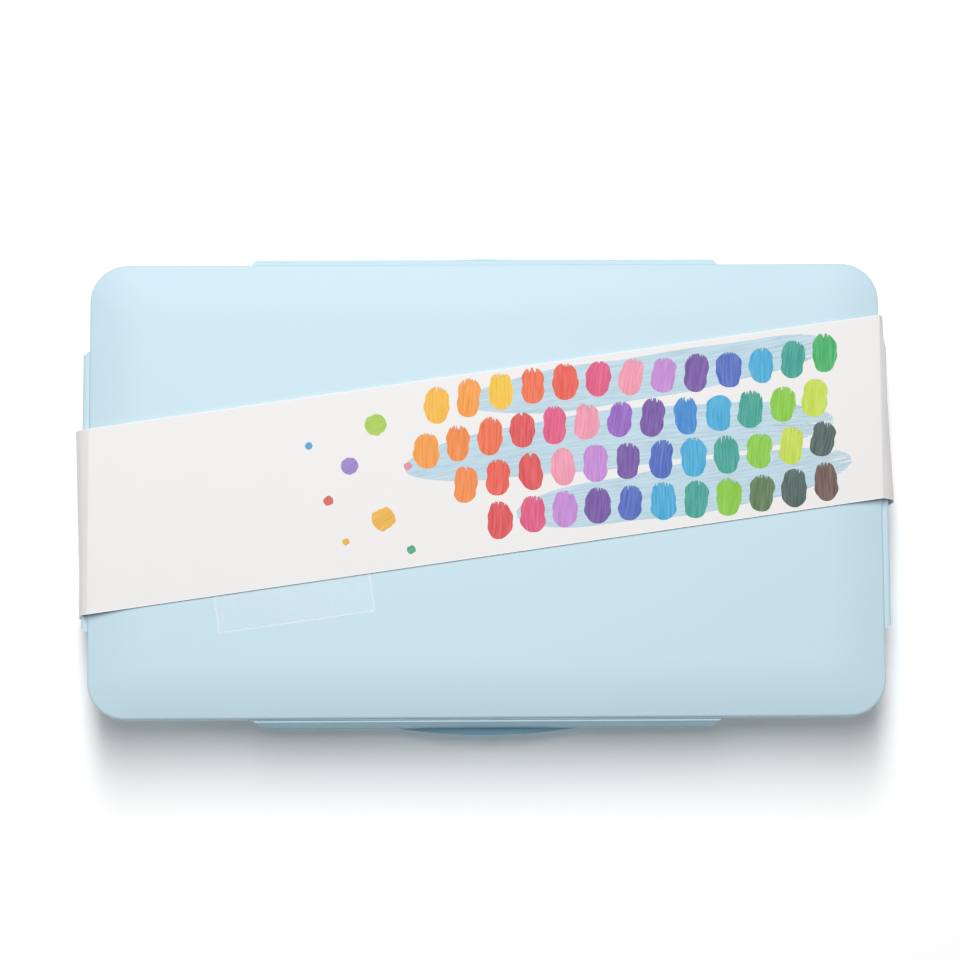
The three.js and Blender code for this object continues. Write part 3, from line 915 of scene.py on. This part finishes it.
def fill_shape(cups, low, high, hand, seed):
    """One fill of paint, from a grid over the chamber's outline: each row is as long as the
    rounded rectangle is there. Its top rises at the wall with the distance from it, and is stirred
    by waves whose places are themselves pushed about by slower waves; its foot is flat."""
    top = high.z
    level = top - cups.fill_drop
    foot = low.z + cups.wall + FILL_GAP
    offset = hand * (cups.chamber_length + cups.divider) / 2
    centre = (low.x + high.x) / 2 + offset, (low.y + high.y) / 2
    draw = np.random.default_rng(seed)
    phase = draw.uniform(0, 2 * np.pi, 6)
    turn = draw.uniform(0, 2 * np.pi)
    along = np.linspace(-1, 1, 27)[None, :]
    across = np.sin(np.linspace(-1, 1, 43) * np.pi / 2)[:, None]

    def grid(z):
        length, width, corner = chamber_size(cups, -FILL_GAP, z, top)
        y = across * width / 2
        past = np.clip(np.abs(y) - (width / 2 - corner), 0, corner)
        half = length / 2 - corner + np.sqrt(corner**2 - past**2)
        x = along * half
        wall = np.minimum(half - np.abs(x), (width / 2 - np.abs(y)) + 0 * x)
        return x, y + 0 * x, wall

    x, y, wall = grid(level)
    u = (x * math.cos(turn) + y * math.sin(turn)) / MM
    v = (y * math.cos(turn) - x * math.sin(turn)) / MM
    u, v = u + 1.6 * np.sin(0.33 * v + phase[0]), v + 1.8 * np.sin(0.27 * u + phase[1])
    waves = np.sin(0.62 * u + phase[2]) * np.sin(0.38 * v + phase[3])
    waves += 0.5 * np.sin(1.15 * v + 0.4 * u + phase[4]) + 0.3 * np.sin(1.7 * u - 0.9 * v + phase[5])
    still = 1 - np.exp(-wall / (1.6 * MM))
    rise = 1.2 * MM * np.exp(-wall / (0.7 * MM))
    upper = np.stack([x, y, level + rise + still * cups.swirl * waves], axis=-1)
    x, y, wall = grid(foot)
    points, faces = slab(upper, np.stack([x, y, np.full(x.shape, foot)], axis=-1))
    points[:, :2] += centre
    return points, faces


def clear_plastic(name, tint, opacity, roughness=0.07):
    """Clear moulded plastic: mostly let through, with strong gloss and faint flow lines."""
    finish = Finish(name, IOR=2.0, base_color=tint)
    flow = finish.noise(160, detail=2, stretch=(1, 1, 0.3))
    finish.set("Alpha", opacity - 0.04 + 0.08 * flow)
    finish.set("Roughness", roughness + 0.06 * flow)
    finish.bump(flow, 0.00005, 0.4)
    return finish.material


def gouache(name):
    """Thick matt-wet paint: each fill's own pigment, streaked where it was stirred."""
    finish = Finish(name, IOR=1.5, coat_roughness=0.12)
    pigment = finish.node("ShaderNodeAttribute", {"attribute_name": "pigment"}, output="Color")
    streak = finish.noise(140, detail=3, stretch=(1, 1, 0.5), roughness=0.6)
    patch = finish.noise(60, detail=2)
    dark = finish.mix(1.0, pigment, (0.72, 0.72, 0.74), "MULTIPLY")
    pale = finish.mix(0.14, pigment, (1, 1, 1))
    tone = finish.mix(finish.ramp(streak, [(0.35, 0), (0.7, 1)]), dark, pale)
    finish.set("Base Color", finish.mix(0.45, pigment, tone))
    finish.set("Roughness", 0.4 + 0.2 * patch)
    finish.set("Coat Weight", 0.05 + 0.3 * patch)
    finish.bump(streak, 0.00006, 0.3)
    return finish.material


class PAINTBOX_OT_cups(Operator):
    """Makes the eighteen clear twin cups and their thirty-six fills of paint"""

    bl_idname = "paintbox.cups"
    bl_label = "Cups and paint"

    def execute(self, context):
        cups = context.scene.paint_box.cups
        plastic = clear_plastic("cup clear plastic", cups.tint, 0.26)
        paint = gouache("gouache paint")
        for row in ROWS:
            for column in range(COLUMNS):
                node = cup_node(row, column)
                low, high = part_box(node)
                middle = ((low.x + high.x) / 2, (low.y + high.y) / 2, 0)
                shape = together(*(half_cup(cups, low, high, hand) for hand in (-1, 1)))
                shape = turned(shape, 0, middle)
                make_piece(f"{node}_clear", shape, "base", plastic, [node], crease=55)
                for half, hand in enumerate((-1, 1)):
                    fill = 2 * column + half
                    shape = fill_shape(cups, low, high, hand, 100 * ROWS.index(row) + fill)
                    pigment = np.tile([*colour(PAINTS[row][fill]), 1], (len(shape[0]), 1))
                    name = f"paint_{row}_{fill + 1}"
                    values = {"pigment": ("FLOAT_COLOR", pigment)}
                    make_piece(name, shape, "base", paint, values=values, crease=60)
        return {"FINISHED"}


# Brush

# Where the ferrule starts to turn round, and where its rings are pressed in, along its length
FLAT_SHARE = 0.45
RING_SHARES = (0.72, 0.8, 0.88)

# The handle's outline: each place as a share of its length, and the diameter there in millimetres
HANDLE_PROFILE = ((0, 5.6), (0.12, 5.6), (0.26, 7.6), (0.5, 6.6), (1, 3.4))


def across_ring(x, thickness, width, corner, steps=6):
    """A rounded rectangle that stands square to the brush at a place along it."""
    flat = ring(width, thickness, corner, 0, steps=steps)
    return np.stack([np.full(len(flat), x), flat[:, 0], flat[:, 1]], axis=-1)


def hair_core(brush, length, width, thick):
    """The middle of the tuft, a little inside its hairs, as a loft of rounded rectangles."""
    sections = (
        (1.5 * MM, brush.tip * 0.5, width * 0.8),
        (length / 2, thick * 0.85, width * 0.93),
        (length, thick * 0.85, width * 0.93),
    )
    return loft([across_ring(x, height, wide, height * 0.45) for x, height, wide in sections])


def hair_strands(brush, length, width, thick):
    """Hairs as four-sided tubes along X, from the tip at 0 to the ferrule. A hair keeps its
    place across the tuft, the tuft narrows to its tip, and each hair bows by a little of its own."""
    draw = np.random.default_rng(7)
    count = brush.strands
    across = draw.uniform(-1, 1, count)[:, None]
    up = draw.uniform(-1, 1, count)[:, None]
    tip = draw.uniform(0, 1.4 * MM, count)[:, None]
    bow = draw.normal(0, 0.12 * MM, (count, 2))
    share = np.linspace(0, 1, 7)[None, :]
    x = tip + (length - tip) * share
    body = np.sin(np.pi * np.clip(share * 0.62, 0, 0.5))
    half_width = (width / 2 - brush.strand_radius) * (0.9 + 0.1 * body)
    half_thick = (brush.tip + (thick - 2 * brush.strand_radius - brush.tip) * body) / 2
    arch = np.sin(np.pi * share)
    y = across * half_width + bow[:, :1] * arch * 2
    z = up * half_thick * np.sqrt(1 - 0.3 * across**2) + bow[:, 1:] * arch
    radius = brush.strand_radius * (0.35 + 0.65 * np.clip(share * 3, 0, 1))
    corner = np.arange(4) * np.pi / 2
    ring_y = y[..., None] + radius[..., None] * np.cos(corner)
    ring_z = z[..., None] + radius[..., None] * np.sin(corner)
    points = np.stack([np.broadcast_to(x[..., None], ring_y.shape), ring_y, ring_z], axis=-1)
    steps = share.shape[1]
    ends = [[3, 2, 1, 0], [4 * steps - 4 + side for side in range(4)]]
    one = np.array(grid_faces(steps, 4, wrap=True) + ends)
    faces = (one[None] + (np.arange(count) * 4 * steps)[:, None, None]).reshape(-1, 4)
    return points.reshape(-1, 3), faces.tolist()


def ferrule_levels(brush, run, width):
    """Rounded rectangles along the ferrule, which turns from flat to round by a smooth step, with
    a bell-shaped groove pressed in at each ring."""
    share = np.linspace(0, 1, 64)
    turn = smooth_step((share - FLAT_SHARE) / (1 - FLAT_SHARE))
    press = sum(np.exp(-(((share - place) * run / (0.45 * MM)) ** 2)) for place in RING_SHARES)
    wide = width + 0.8 * MM
    thickness = brush.ferrule_flat + (brush.ferrule_round - brush.ferrule_flat) * turn
    thickness -= 2 * brush.crimp * press
    breadth = wide + (brush.ferrule_round - wide) * turn - 2 * brush.crimp * press
    corner = thickness * (0.33 + 0.165 * turn)
    sections = zip(share * run, thickness, breadth, corner)
    return [across_ring(*section, steps=8) for section in sections]


def handle_levels(start, end):
    """Circles along X whose diameters follow a smoothed line through the profile's points and
    close in at the blunt end."""
    share = np.linspace(0, 1, 60)
    places, widths = np.array(HANDLE_PROFILE).T
    diameter = smoothed(np.interp(share, places, widths * MM), 4, mode="edge")
    diameter[-3:] = diameter[-3] * np.array([1, 0.86, 0.5])
    angle = np.linspace(0, 2 * np.pi, 28, endpoint=False)
    x = start + (end - start) * share
    radius = diameter[:, None] / 2
    y, z = radius * np.cos(angle), radius * np.sin(angle)
    return np.stack([np.broadcast_to(x[:, None], y.shape), y, z], axis=-1)


def synthetic_hair(name, tint):
    """Pale hair with darker flecks drawn out along it."""
    finish = Finish(name, IOR=1.5)
    fleck = finish.noise(2500, detail=1, stretch=(0.05, 1, 1))
    finish.set("Base Color", finish.mix(fleck, scaled(tint, 0.8), tint))
    finish.set("Roughness", 0.35 + 0.2 * fleck)
    return finish.material


def brushed_metal(name, tint):
    """Thin sheet metal with fine marks drawn out along it."""
    finish = Finish(name, metallic=1.0)
    marks = finish.noise(1500, detail=2, stretch=(0.04, 1, 1))
    finish.set("Base Color", finish.mix(marks, scaled(tint, 0.9), tint))
    finish.set("Roughness", 0.2 + 0.16 * marks)
    finish.bump(marks, 0.00002, 0.4)
    return finish.material


class PAINTBOX_OT_brush(Operator):
    """Makes the flat brush: hairs, pressed ferrule and clear handle"""

    bl_idname = "paintbox.brush"
    bl_label = "Brush"

    def execute(self, context):
        brush = context.scene.paint_box.brush
        low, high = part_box("brush_bristles")
        middle, height = (low.y + high.y) / 2, (low.z + high.z) / 2
        length, width, thick = high.x - low.x, high.y - low.y, high.z - low.z

        finish = synthetic_hair("brush hair", brush.hair)
        shape = together(hair_core(brush, length, width, thick), hair_strands(brush, length, width, thick))
        shape = turned(shape, 0, (low.x, middle, height))
        make_piece("brush_hair", shape, "base", finish, ["brush_bristles"], crease=60)

        finish = brushed_metal("ferrule brushed metal", brush.metal)
        low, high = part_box("brush_ferrule")
        shape = loft(ferrule_levels(brush, high.x - low.x, width))
        shape = turned(shape, 0, (low.x, middle, height))
        name, node = "brush_ferrule_tube", "brush_ferrule"
        make_piece(name, shape, "base", finish, [node], crease=50)

        finish = clear_plastic("handle clear acrylic", brush.acrylic, 0.5, 0.02)
        low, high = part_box("brush_handle")
        shape = turned(loft(handle_levels(low.x, high.x)), 0, (0, middle, height))
        name, node = "brush_handle_clear", "brush_handle"
        make_piece(name, shape, "base", finish, [node], crease=50)
        return {"FINISHED"}


# Card band


def band_line(band, x):
    """Where the band's middle line crosses a place along X."""
    return band.middle + math.tan(band.angle) * x


def half_span(band):
    return band.width / math.cos(band.angle) / 2


def across_band(band, rows):
    """Places across the band from -1 to 1, with the outermost two close to the cut edges."""
    edge = 1 - 0.35 * MM / half_span(band)
    return np.concatenate([[-1], np.linspace(-edge, edge, rows), [1]])


def cut_edge_highlight(shape, axis):
    """The card's cut attribute: 1 on the outermost points along an axis of its grid and 0
    elsewhere, for both its faces. It marks the whiter cut edges, partly a painted highlight."""
    cut = np.zeros(shape)
    np.swapaxes(cut, 0, axis)[[0, -1]] = 1
    return {"cut": ("FLOAT", np.tile(cut.ravel(), 2))}


def strip(band, line, half_length):
    """The band's grid: X and Z follow a line, and Y runs across the slanted strip at each X."""
    x, z = line
    across = across_band(band, 15)[:, None] * half_span(band)
    clipped = np.clip(x, -half_length, half_length)
    y = band_line(band, clipped)[None, :] + across
    return np.stack([np.broadcast_to(x, y.shape), y, np.broadcast_to(z, y.shape)], axis=-1)


def panel_line(half, high, radius, down, end, inner=0.0):
    """A flat line between two creases, with an arc down (or up) at each end, from upright to the
    end's angle; inner is how far inside the card's outer face it lies."""
    turn = arc(90, end, 6)
    flat = np.linspace(-half + radius, half - radius, 85)
    x_end = half - radius + (radius - inner) * np.cos(turn)
    z_end = high - down * (radius - (radius - inner) * np.sin(turn))
    x = np.concatenate([-x_end[::-1], flat[1:-1], x_end])
    z = np.concatenate([z_end[::-1], np.full(len(flat) - 2, high - down * inner), z_end])
    return x, z


def flat_panel(band, half, high, down, end):
    """A panel between two creases as a slab of card, and its cut edges."""
    form = (half, high, band.crease_round, down, end)
    outer = strip(band, panel_line(*form), half)
    inner = strip(band, panel_line(*form, band.thickness), half)
    return slab(outer, inner), cut_edge_highlight(outer.shape[:2], 0)


# How high a side panel's points lie above its foot and how far beyond the plate's end, first for
# the slack card and then for card that is drawn tight over the flap, in millimetres
SLACK_LINE = (
    (0, 0.2), (6, 2.7), (14, 4.9), (22, 5.7), (28, 5.3), (33, 4), (35.6, 2.4), (36.9, 0.9), (37.5, 0.15)
)
TIGHT_LINE = ((0, 0.2), (9, 2.2), (18.5, 4.4), (20, 4.5), (33.5, 2.6), (35.2, 2.3), (36.6, 1.1), (37.5, 0.15))

# How slack the card is at the band's front and back edges, on each side
SLACKNESS = {-1: (0.6, 1), 1: (0.96, 0.42)}


def side_panel(band, lid, high, hand):
    """A side panel's outer face. Its line from the lower to the upper crease is the slack line
    times the card's slackness, which grows evenly from one slanted edge of the band to the other,
    and no closer in than the tight line where the flap lies behind it. The lines are smoothed."""
    up = np.linspace(0, 1, 81)
    across = across_band(band, 19)
    y = band_line(band, hand * lid.length / 2) + across * half_span(band)
    slackness = np.interp(across, (-1, 1), SLACKNESS[hand])
    flap_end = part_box("flap_right")[1].y
    behind = smooth_step((flap_end + 7 * MM - np.abs(y)) / (6.5 * MM))

    def reach(line):
        heights, places = np.array(line).T
        rough = np.interp(up * heights[-1], heights, places)
        return smoothed(rough, 3, mode="reflect", reflect_type="odd")[:, None] * MM

    out = lid.length / 2 + np.maximum(reach(SLACK_LINE) * slackness, reach(TIGHT_LINE) * behind)
    z = (band.crease_round + (high - band.crease_round) * up)[:, None]
    return np.stack([hand * out, *(np.broadcast_to(place, out.shape) for place in (y, z))], axis=-1)


class PAINTBOX_OT_band(Operator):
    """Makes the card band's four panels"""

    bl_idname = "paintbox.band"
    bl_label = "Card band"

    def execute(self, context):
        settings = context.scene.paint_box
        lid, band = settings.lid, settings.band
        finish = coated_card("band white card", band.tint)
        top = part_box("band_top")[1].z - 0.03 * MM
        half = lid.length / 2
        panels = (
            ("band_top_card", "band", "band_top", half + band.crease_reach, top, 1, 45),
            ("band_foot_card", "band_foot", "band_bottom", half + band.foot_reach, 0, -1, 0),
        )
        for name, body, node, *form in panels:
            shape, cut = flat_panel(band, *form)
            make_piece(name, shape, body, finish, [node], crease=40, values=cut)
        seam = top - band.crease_round
        high = top - band.crease_round * (1 - math.sin(math.pi / 4))
        for side, hand in (("left", -1), ("right", 1)):
            outer = side_panel(band, lid, high, hand)
            shape = slab(outer, outer - [hand * band.thickness, 0, 0])
            cut = cut_edge_highlight(outer.shape[:2], 1)
            name, node = f"band_{side}_card", f"band_{side}"
            piece = make_piece(name, shape, None, finish, [node], crease=40, values=cut)
            seam - 5 * MM
            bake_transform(piece)
        return {"FINISHED"}


# Print

# The dabs' inks, in the order in which they follow each other along a row
INKS = (
    "#fbb713 #f9981c #fac61e #f58420 #f2642c #ec4a33 #e03a40 #e2457a #f295ad #c583d4 #8f55c0 #6a3f9f "
    "#3a5fbe #1b86d2 #22a9d8 #14a08f #20b058 #86cc26 #c6dd38 #4f7440 #375650 #413b47 #66463d #b8462f"
).split()

# The washes: place along and across the band, length and width, the tilt in radians, the bend, and
# how far the top lies below the card's, with the lengths in millimetres
WASHES = (
    (60, 22, 128, 15, 0.02, 1.5, 0.017),
    (47, 2, 150, 19, -0.03, -2, 0.014),
    (67, -19, 118, 17, 0.02, 1, 0.011),
)

# Where each row of dabs starts along the band and how many it has, and how far apart dabs and rows
# are, in millimetres
DAB_ROWS = ((-14, 13), (-20, 13), (-8, 12), (2, 11))
DAB_PITCH = 11.4
ROW_PITCH = 14.8

# The drops: colour, place along and across the band, and length, in millimetres
DROPS = (
    ("#a9cf3f", -36, 19, 7.5),
    ("#9a7cc8", -47, 6, 6),
    ("#f3b42c", -38, -14, 8),
    ("#d8504a", -56, -5, 3.4),
    ("#3f9fd4", -60, 15, 2.6),
    ("#f3b42c", -52, -20, 2.4),
    ("#35a97c", -30, -26, 3),
    ("#e58aa4", -27, 3, 2.8),
)

# A brush mark: its colour, how dry it runs towards its end, its place in the band's own directions,
# its size, tilt and bend, the heights of its top and underside, and the seed of its wobble
Mark = namedtuple("Mark", "ink dryness along across length width tilt bend high low seed")


def ink_shape(mark):
    """A flat brush mark as a thin slab. Its half width is a rounded end's root curve times slow
    waves, its middle line bends with the square of the way along, and it lies turned by a tilt.
    It comes with its own coordinates: millimetres along and across it, and a seed."""
    draw = np.random.default_rng(mark.seed)
    one = np.linspace(-1, 1, 25)
    s = np.sin(one * np.pi / 2)[:, None]
    t = np.linspace(-1, 1, 11)[None, :]
    phase = draw.uniform(0, 2 * np.pi, 2)
    waves = 1 + 0.05 * np.sin(s * 4 + phase[0]) + 0.04 * np.sin(s * 9 + phase[1])
    half = mark.width / 2 * (1.02 - np.abs(s) ** 3.2) ** 0.5 * waves
    x = s * mark.length / 2 + 0 * t
    y = half * t + mark.bend * s**2
    c, d = math.cos(mark.tilt), math.sin(mark.tilt)
    places = (mark.along + c * x - d * y, mark.across + d * x + c * y, np.full(x.shape, mark.high))
    grid = np.stack(places, axis=-1)
    points, faces = slab(grid, grid + [0, 0, mark.low - mark.high])
    own = np.stack([x / MM, half * t / MM + 0 * x, np.full(x.shape, mark.seed * 7.0)], axis=-1).reshape(-1, 3)
    return points, faces, np.concatenate([own, own])


def printed_ink():
    """Printing ink in brush marks: each mark's colour, bristle streaks that run along it, and
    bare flecks where the brush ran dry towards its end."""
    finish = Finish("printed ink", IOR=1.45, coat_roughness=0.35)
    ink = finish.node("ShaderNodeAttribute", {"attribute_name": "ink"}, output="Color")
    own = finish.node("ShaderNodeAttribute", {"attribute_name": "stroke"}, output="Vector")
    run = finish.node("ShaderNodeMapping", {}, {"Vector": own, "Scale": (0.1, 1.6, 1)})
    streak = finish.noise(1.1, detail=3, where=run)
    pool = finish.noise(0.25, detail=2, where=own)
    dark = finish.mix(1.0, ink, (0.7, 0.71, 0.73), "MULTIPLY")
    pale = finish.mix(0.16, ink, (1, 1, 1))
    tone = finish.mix(finish.ramp(streak, [(0.35, 0), (0.68, 1)]), dark, pale)
    finish.set("Base Color", finish.mix(0.3 + 0.4 * pool, ink, tone))
    share = finish.node("ShaderNodeAttribute", {"attribute_name": "dryness"}, output="Fac")
    wet = finish.ramp(streak - share * 0.42 + 0.12, [(0.18, 0), (0.3, 1)])
    finish.set("Alpha", wet)
    finish.set("Roughness", 0.5 + 0.1 * pool)
    return finish.material


def ink_piece(name, marks, finish):
    """Brush marks joined into one printed piece."""
    band = bpy.context.scene.paint_box.band
    shapes, inks, strokes, dry = [], [], [], []
    for mark in marks:
        points, faces, own = ink_shape(mark)
        shapes.append((points, faces))
        inks.append(np.tile([*mark.ink, 1], (len(points), 1)))
        strokes.append(own)
        reach = np.abs(own[:, 0]).max()
        dry.append(mark.dryness * np.clip(own[:, 0] / reach, 0, 1) ** 2)
    shape = turned(together(*shapes), band.angle, (0, band.middle, 0))
    values = {
        "ink": ("FLOAT_COLOR", np.concatenate(inks)),
        "stroke": ("FLOAT_VECTOR", np.concatenate(strokes)),
        "dryness": ("FLOAT", np.concatenate(dry)),
    }
    make_piece(name, shape, "band", finish, values=values, crease=60)


class PAINTBOX_OT_print(Operator):
    """Prints loose brush marks on the band's top: pale washes, rows of dabs and a few drops"""

    bl_idname = "paintbox.artwork"
    bl_label = "Print"

    def execute(self, context):
        art = context.scene.paint_box.artwork
        finish = printed_ink()
        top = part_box("band_top")[1].z
        high, low = top - 0.004 * MM, top - 0.05 * MM

        washes = []
        for seed, (*sizes, tilt, bend, depth) in enumerate(WASHES, 1):
            form = [size * MM for size in sizes]
            washes.append(Mark(tuple(art.wash), 0.9, *form, tilt, bend * MM, top - depth * MM, low, seed))
        ink_piece("print_washes", washes, finish)

        draw = np.random.default_rng(11)
        dabs = []
        for row, (start, count) in enumerate(DAB_ROWS):
            for column in range(count):
                u = start + DAB_PITCH * column
                v = 22.5 - ROW_PITCH * row + 2.2 * math.sin(u / 24 + 0.7)
                share = (column + 1.3 * row) / (count + 4)
                ink = colour(INKS[int(share * len(INKS)) % len(INKS)])
                tilt = math.radians(90 - 12 + draw.normal(0, 5))
                length = art.dab_length * draw.uniform(0.94, 1.06)
                width = art.dab_width * draw.uniform(0.92, 1.05)
                bend = draw.normal(0, 0.4) * MM
                form = (u * MM, v * MM, length, width, tilt, bend)
                dabs.append(Mark(ink, 1.0, *form, high, low, 20 + len(dabs)))
        ink_piece("print_dabs", dabs, finish)

        drops = []
        for seed, (code, *sizes) in enumerate(DROPS, 90):
            u, v, size = (number * MM for number in sizes)
            drops.append(Mark(colour(code), 0.2, u, v, size, size * 0.92, 0.4, 0, high, low, seed))
        ink_piece("print_drops", drops, finish)
        return {"FINISHED"}


# Seal film

# The film's grid in the band's own directions, in millimetres: its outermost lines lie close
# together, for the bright border
FILM_ALONG = (-100, -99.7, -99.3, -90, -80, -70, -60, -50, -46.1, -45.7, -45.4)
FILM_ACROSS = (-45.3, -45, -44.6, -40, -35, -30, -24)


def sealing_film(name):
    """Clear film that shows by a faint haze and by its brighter border."""
    finish = Finish(name, IOR=1.5, roughness=0.3)
    rim = finish.node("ShaderNodeAttribute", {"attribute_name": "border"}, output="Fac")
    haze = finish.noise(220, detail=3)
    finish.set("Base Color", finish.mix(haze, (0.93, 0.97, 1.0), (1, 1, 1)))
    finish.set("Alpha", 0.03 + 0.04 * haze + 0.3 * rim)
    return finish.material


class PAINTBOX_OT_seal(Operator):
    """Makes the clear sealing film on the lid, half under the band"""

    bl_idname = "paintbox.seal"
    bl_label = "Seal film"

    def execute(self, context):
        band = context.scene.paint_box.band
        finish = sealing_film("seal film")
        x, y = np.meshgrid(np.array(FILM_ALONG) * MM, np.array(FILM_ACROSS) * MM)
        film = np.stack([x, y, np.full(x.shape, plate_top() + 0.06 * MM)], axis=-1)
        shape = turned(slab(film, film - [0, 0, 0.05 * MM]), band.angle, (0, band.middle, 0))
        border = np.ones(x.shape)
        border[2:, 2:-2] = 0
        border[1:, 1:-1] *= 0.8
        values = {"border": ("FLOAT", np.tile(border.ravel(), 2))}
        make_piece("seal_film", shape, "lid", finish, values=values)
        return {"FINISHED"}


# Stage

# Half the table's side, how far it lies below the box's foot, and its corners' directions
TABLE_REACH = 3.0
TABLE_DROP = 0.02 * MM
TABLE_CORNERS = ((-1, -1), (1, -1), (1, 1), (-1, 1))

# How much the overhead light leans to the back, and how many metres off it is
KEY_TILT = math.radians(22)
KEY_DISTANCE = 1.6

# Each side's share of the side fill, and how far the lights turn from straight down
FILL_SHARES = {-1: 1.15, 1: 0.85}
FILL_TURN = math.radians(71)

# The camera: the sensor's width in millimetres, the frame's width and the focal length in pixels,
# its place in metres and its turn in degrees
SENSOR_WIDTH = 36
FRAME_PIXELS = 960
FOCAL_PIXELS = 3376
CAMERA_PLACE = (-0.0215, -0.1448, 1.2)
CAMERA_DEGREES = (7.25, -0.91, -0.35)


def table_paper(tint):
    """Matt paper that glows faintly. The camera, gloss and clear plastic see it white, and its own
    tint bounces the light."""
    finish = Finish("table paper", roughness=0.9, specular_ior_level=0.0)
    rays = ("Is Camera Ray", "Is Glossy Ray", "Is Transmission Ray")
    shown, *others = (finish.node("ShaderNodeLightPath", output=ray) for ray in rays)
    for ray in others:
        shown = finish.node("ShaderNodeMath", {"operation": "MAXIMUM"}, {0: shown, 1: ray})
    finish.set("Base Color", finish.mix(shown, tint, (1.0, 1.0, 1.0)))
    finish.set("Emission Color", (1, 1, 1))
    finish.set("Emission Strength", 0.105)
    return finish.material


def add_table(scene, tint):
    corners = [(right * TABLE_REACH, back * TABLE_REACH, -TABLE_DROP) for right, back in TABLE_CORNERS]
    mesh = bpy.data.meshes.new("table")
    mesh.from_pydata(corners, [], [(0, 1, 2, 3)])
    mesh.materials.append(table_paper(tint))
    table = bpy.data.objects.new("table", mesh)
    scene.collection.objects.link(table)


def add_soft_light(scene, name, size, power, place, turn):
    """A rectangular area light, turned from straight down."""
    light = bpy.data.lights.new(name, "AREA")
    light.shape = "RECTANGLE"
    light.size, light.size_y = size
    light.energy = power
    lamp = bpy.data.objects.new(name, light)
    lamp.location = place
    lamp.rotation_euler = Euler(turn)
    scene.collection.objects.link(lamp)


def even_world(strength):
    """A white surround that lights by its strength, and that the camera sees at full white."""
    world = bpy.data.worlds.new("studio")
    world.use_nodes = True
    nodes, links = world.node_tree.nodes, world.node_tree.links
    background = nodes["Background"]
    background.inputs["Color"].default_value = (1, 1, 1, 1)
    path = nodes.new("ShaderNodeLightPath")
    mix = nodes.new("ShaderNodeMix")
    mix.inputs[2].default_value = strength
    mix.inputs[3].default_value = 1.0
    links.new(path.outputs["Is Camera Ray"], mix.inputs[0])
    links.new(mix.outputs[0], background.inputs["Strength"])
    return world


def add_camera(scene):
    """The camera, at the photograph's viewing angle."""
    lens = bpy.data.cameras.new("camera")
    lens.sensor_width = SENSOR_WIDTH
    lens.lens = FOCAL_PIXELS / FRAME_PIXELS * SENSOR_WIDTH
    lens.clip_end = 20
    camera = bpy.data.objects.new("camera", lens)
    camera.location = CAMERA_PLACE
    camera.rotation_euler = Euler([math.radians(angle) for angle in CAMERA_DEGREES])
    scene.collection.objects.link(camera)
    scene.camera = camera


class PAINTBOX_OT_stage(Operator):
    """Sets up the table, the lights and the camera"""

    bl_idname = "paintbox.stage"
    bl_label = "Stage"

    def execute(self, context):
        scene = context.scene
        stage = scene.paint_box.stage
        add_table(scene, stage.floor)
        place = (-0.06, KEY_DISTANCE * math.sin(KEY_TILT), KEY_DISTANCE * math.cos(KEY_TILT))
        add_soft_light(scene, "overhead soft light", (0.36, 1.35), stage.key, place, (-KEY_TILT, 0, 0))
        for hand, share in FILL_SHARES.items():
            place, turn = (hand * 1.3, 0.1, 0.45), (0, hand * FILL_TURN, 0)
            add_soft_light(scene, "side fill", (0.8, 0.5), stage.fill * share, place, turn)
        scene.world = even_world(stage.world)
        add_camera(scene)
        scene.view_settings.view_transform = "Standard"
        return {"FINISHED"}


# Panel and start


class PAINTBOX_PT_panel(Panel):
    """Lists the settings and the steps that make the box"""

    bl_idname = "PAINTBOX_PT_panel"
    bl_label = "Paint Box"
    bl_space_type = "VIEW_3D"
    bl_region_type = "UI"
    bl_category = "Paint Box"

    def draw(self, context):
        for step in STEPS:
            self.layout.operator(step.bl_idname)
        settings = context.scene.paint_box
        for name in PaintBoxSettings.__annotations__:
            box = self.layout.box()
            box.label(text=name.title())
            group = getattr(settings, name)
            for key in type(group).__annotations__:
                box.prop(group, key)


STEPS = (
    PAINTBOX_OT_lid,
    PAINTBOX_OT_flaps,
    PAINTBOX_OT_tub,
    PAINTBOX_OT_cups,
    PAINTBOX_OT_brush,
    PAINTBOX_OT_band,
    PAINTBOX_OT_print,
    PAINTBOX_OT_seal,
    PAINTBOX_OT_stage,
)

CLASSES = (
    LidSettings,
    FlapSettings,
    TubSettings,
    CupSettings,
    BrushSettings,
    BandSettings,
    PrintSettings,
    StageSettings,
    PaintBoxSettings,
    *STEPS,
    PAINTBOX_PT_panel,
)


def register():
    for cls in CLASSES:
        bpy.utils.register_class(cls)
    bpy.types.Scene.paint_box = PointerProperty(type=PaintBoxSettings)


def unregister():
    del bpy.types.Scene.paint_box
    for cls in reversed(CLASSES):
        bpy.utils.unregister_class(cls)


def main():
    register()
    bpy.ops.paintbox.lid()
    bpy.ops.paintbox.flaps()
    bpy.ops.paintbox.tub()
    bpy.ops.paintbox.cups()
    bpy.ops.paintbox.brush()
    bpy.ops.paintbox.band()
    bpy.ops.paintbox.artwork()
    bpy.ops.paintbox.seal()
    bpy.ops.paintbox.stage()


if __name__ == "__main__":
    main()
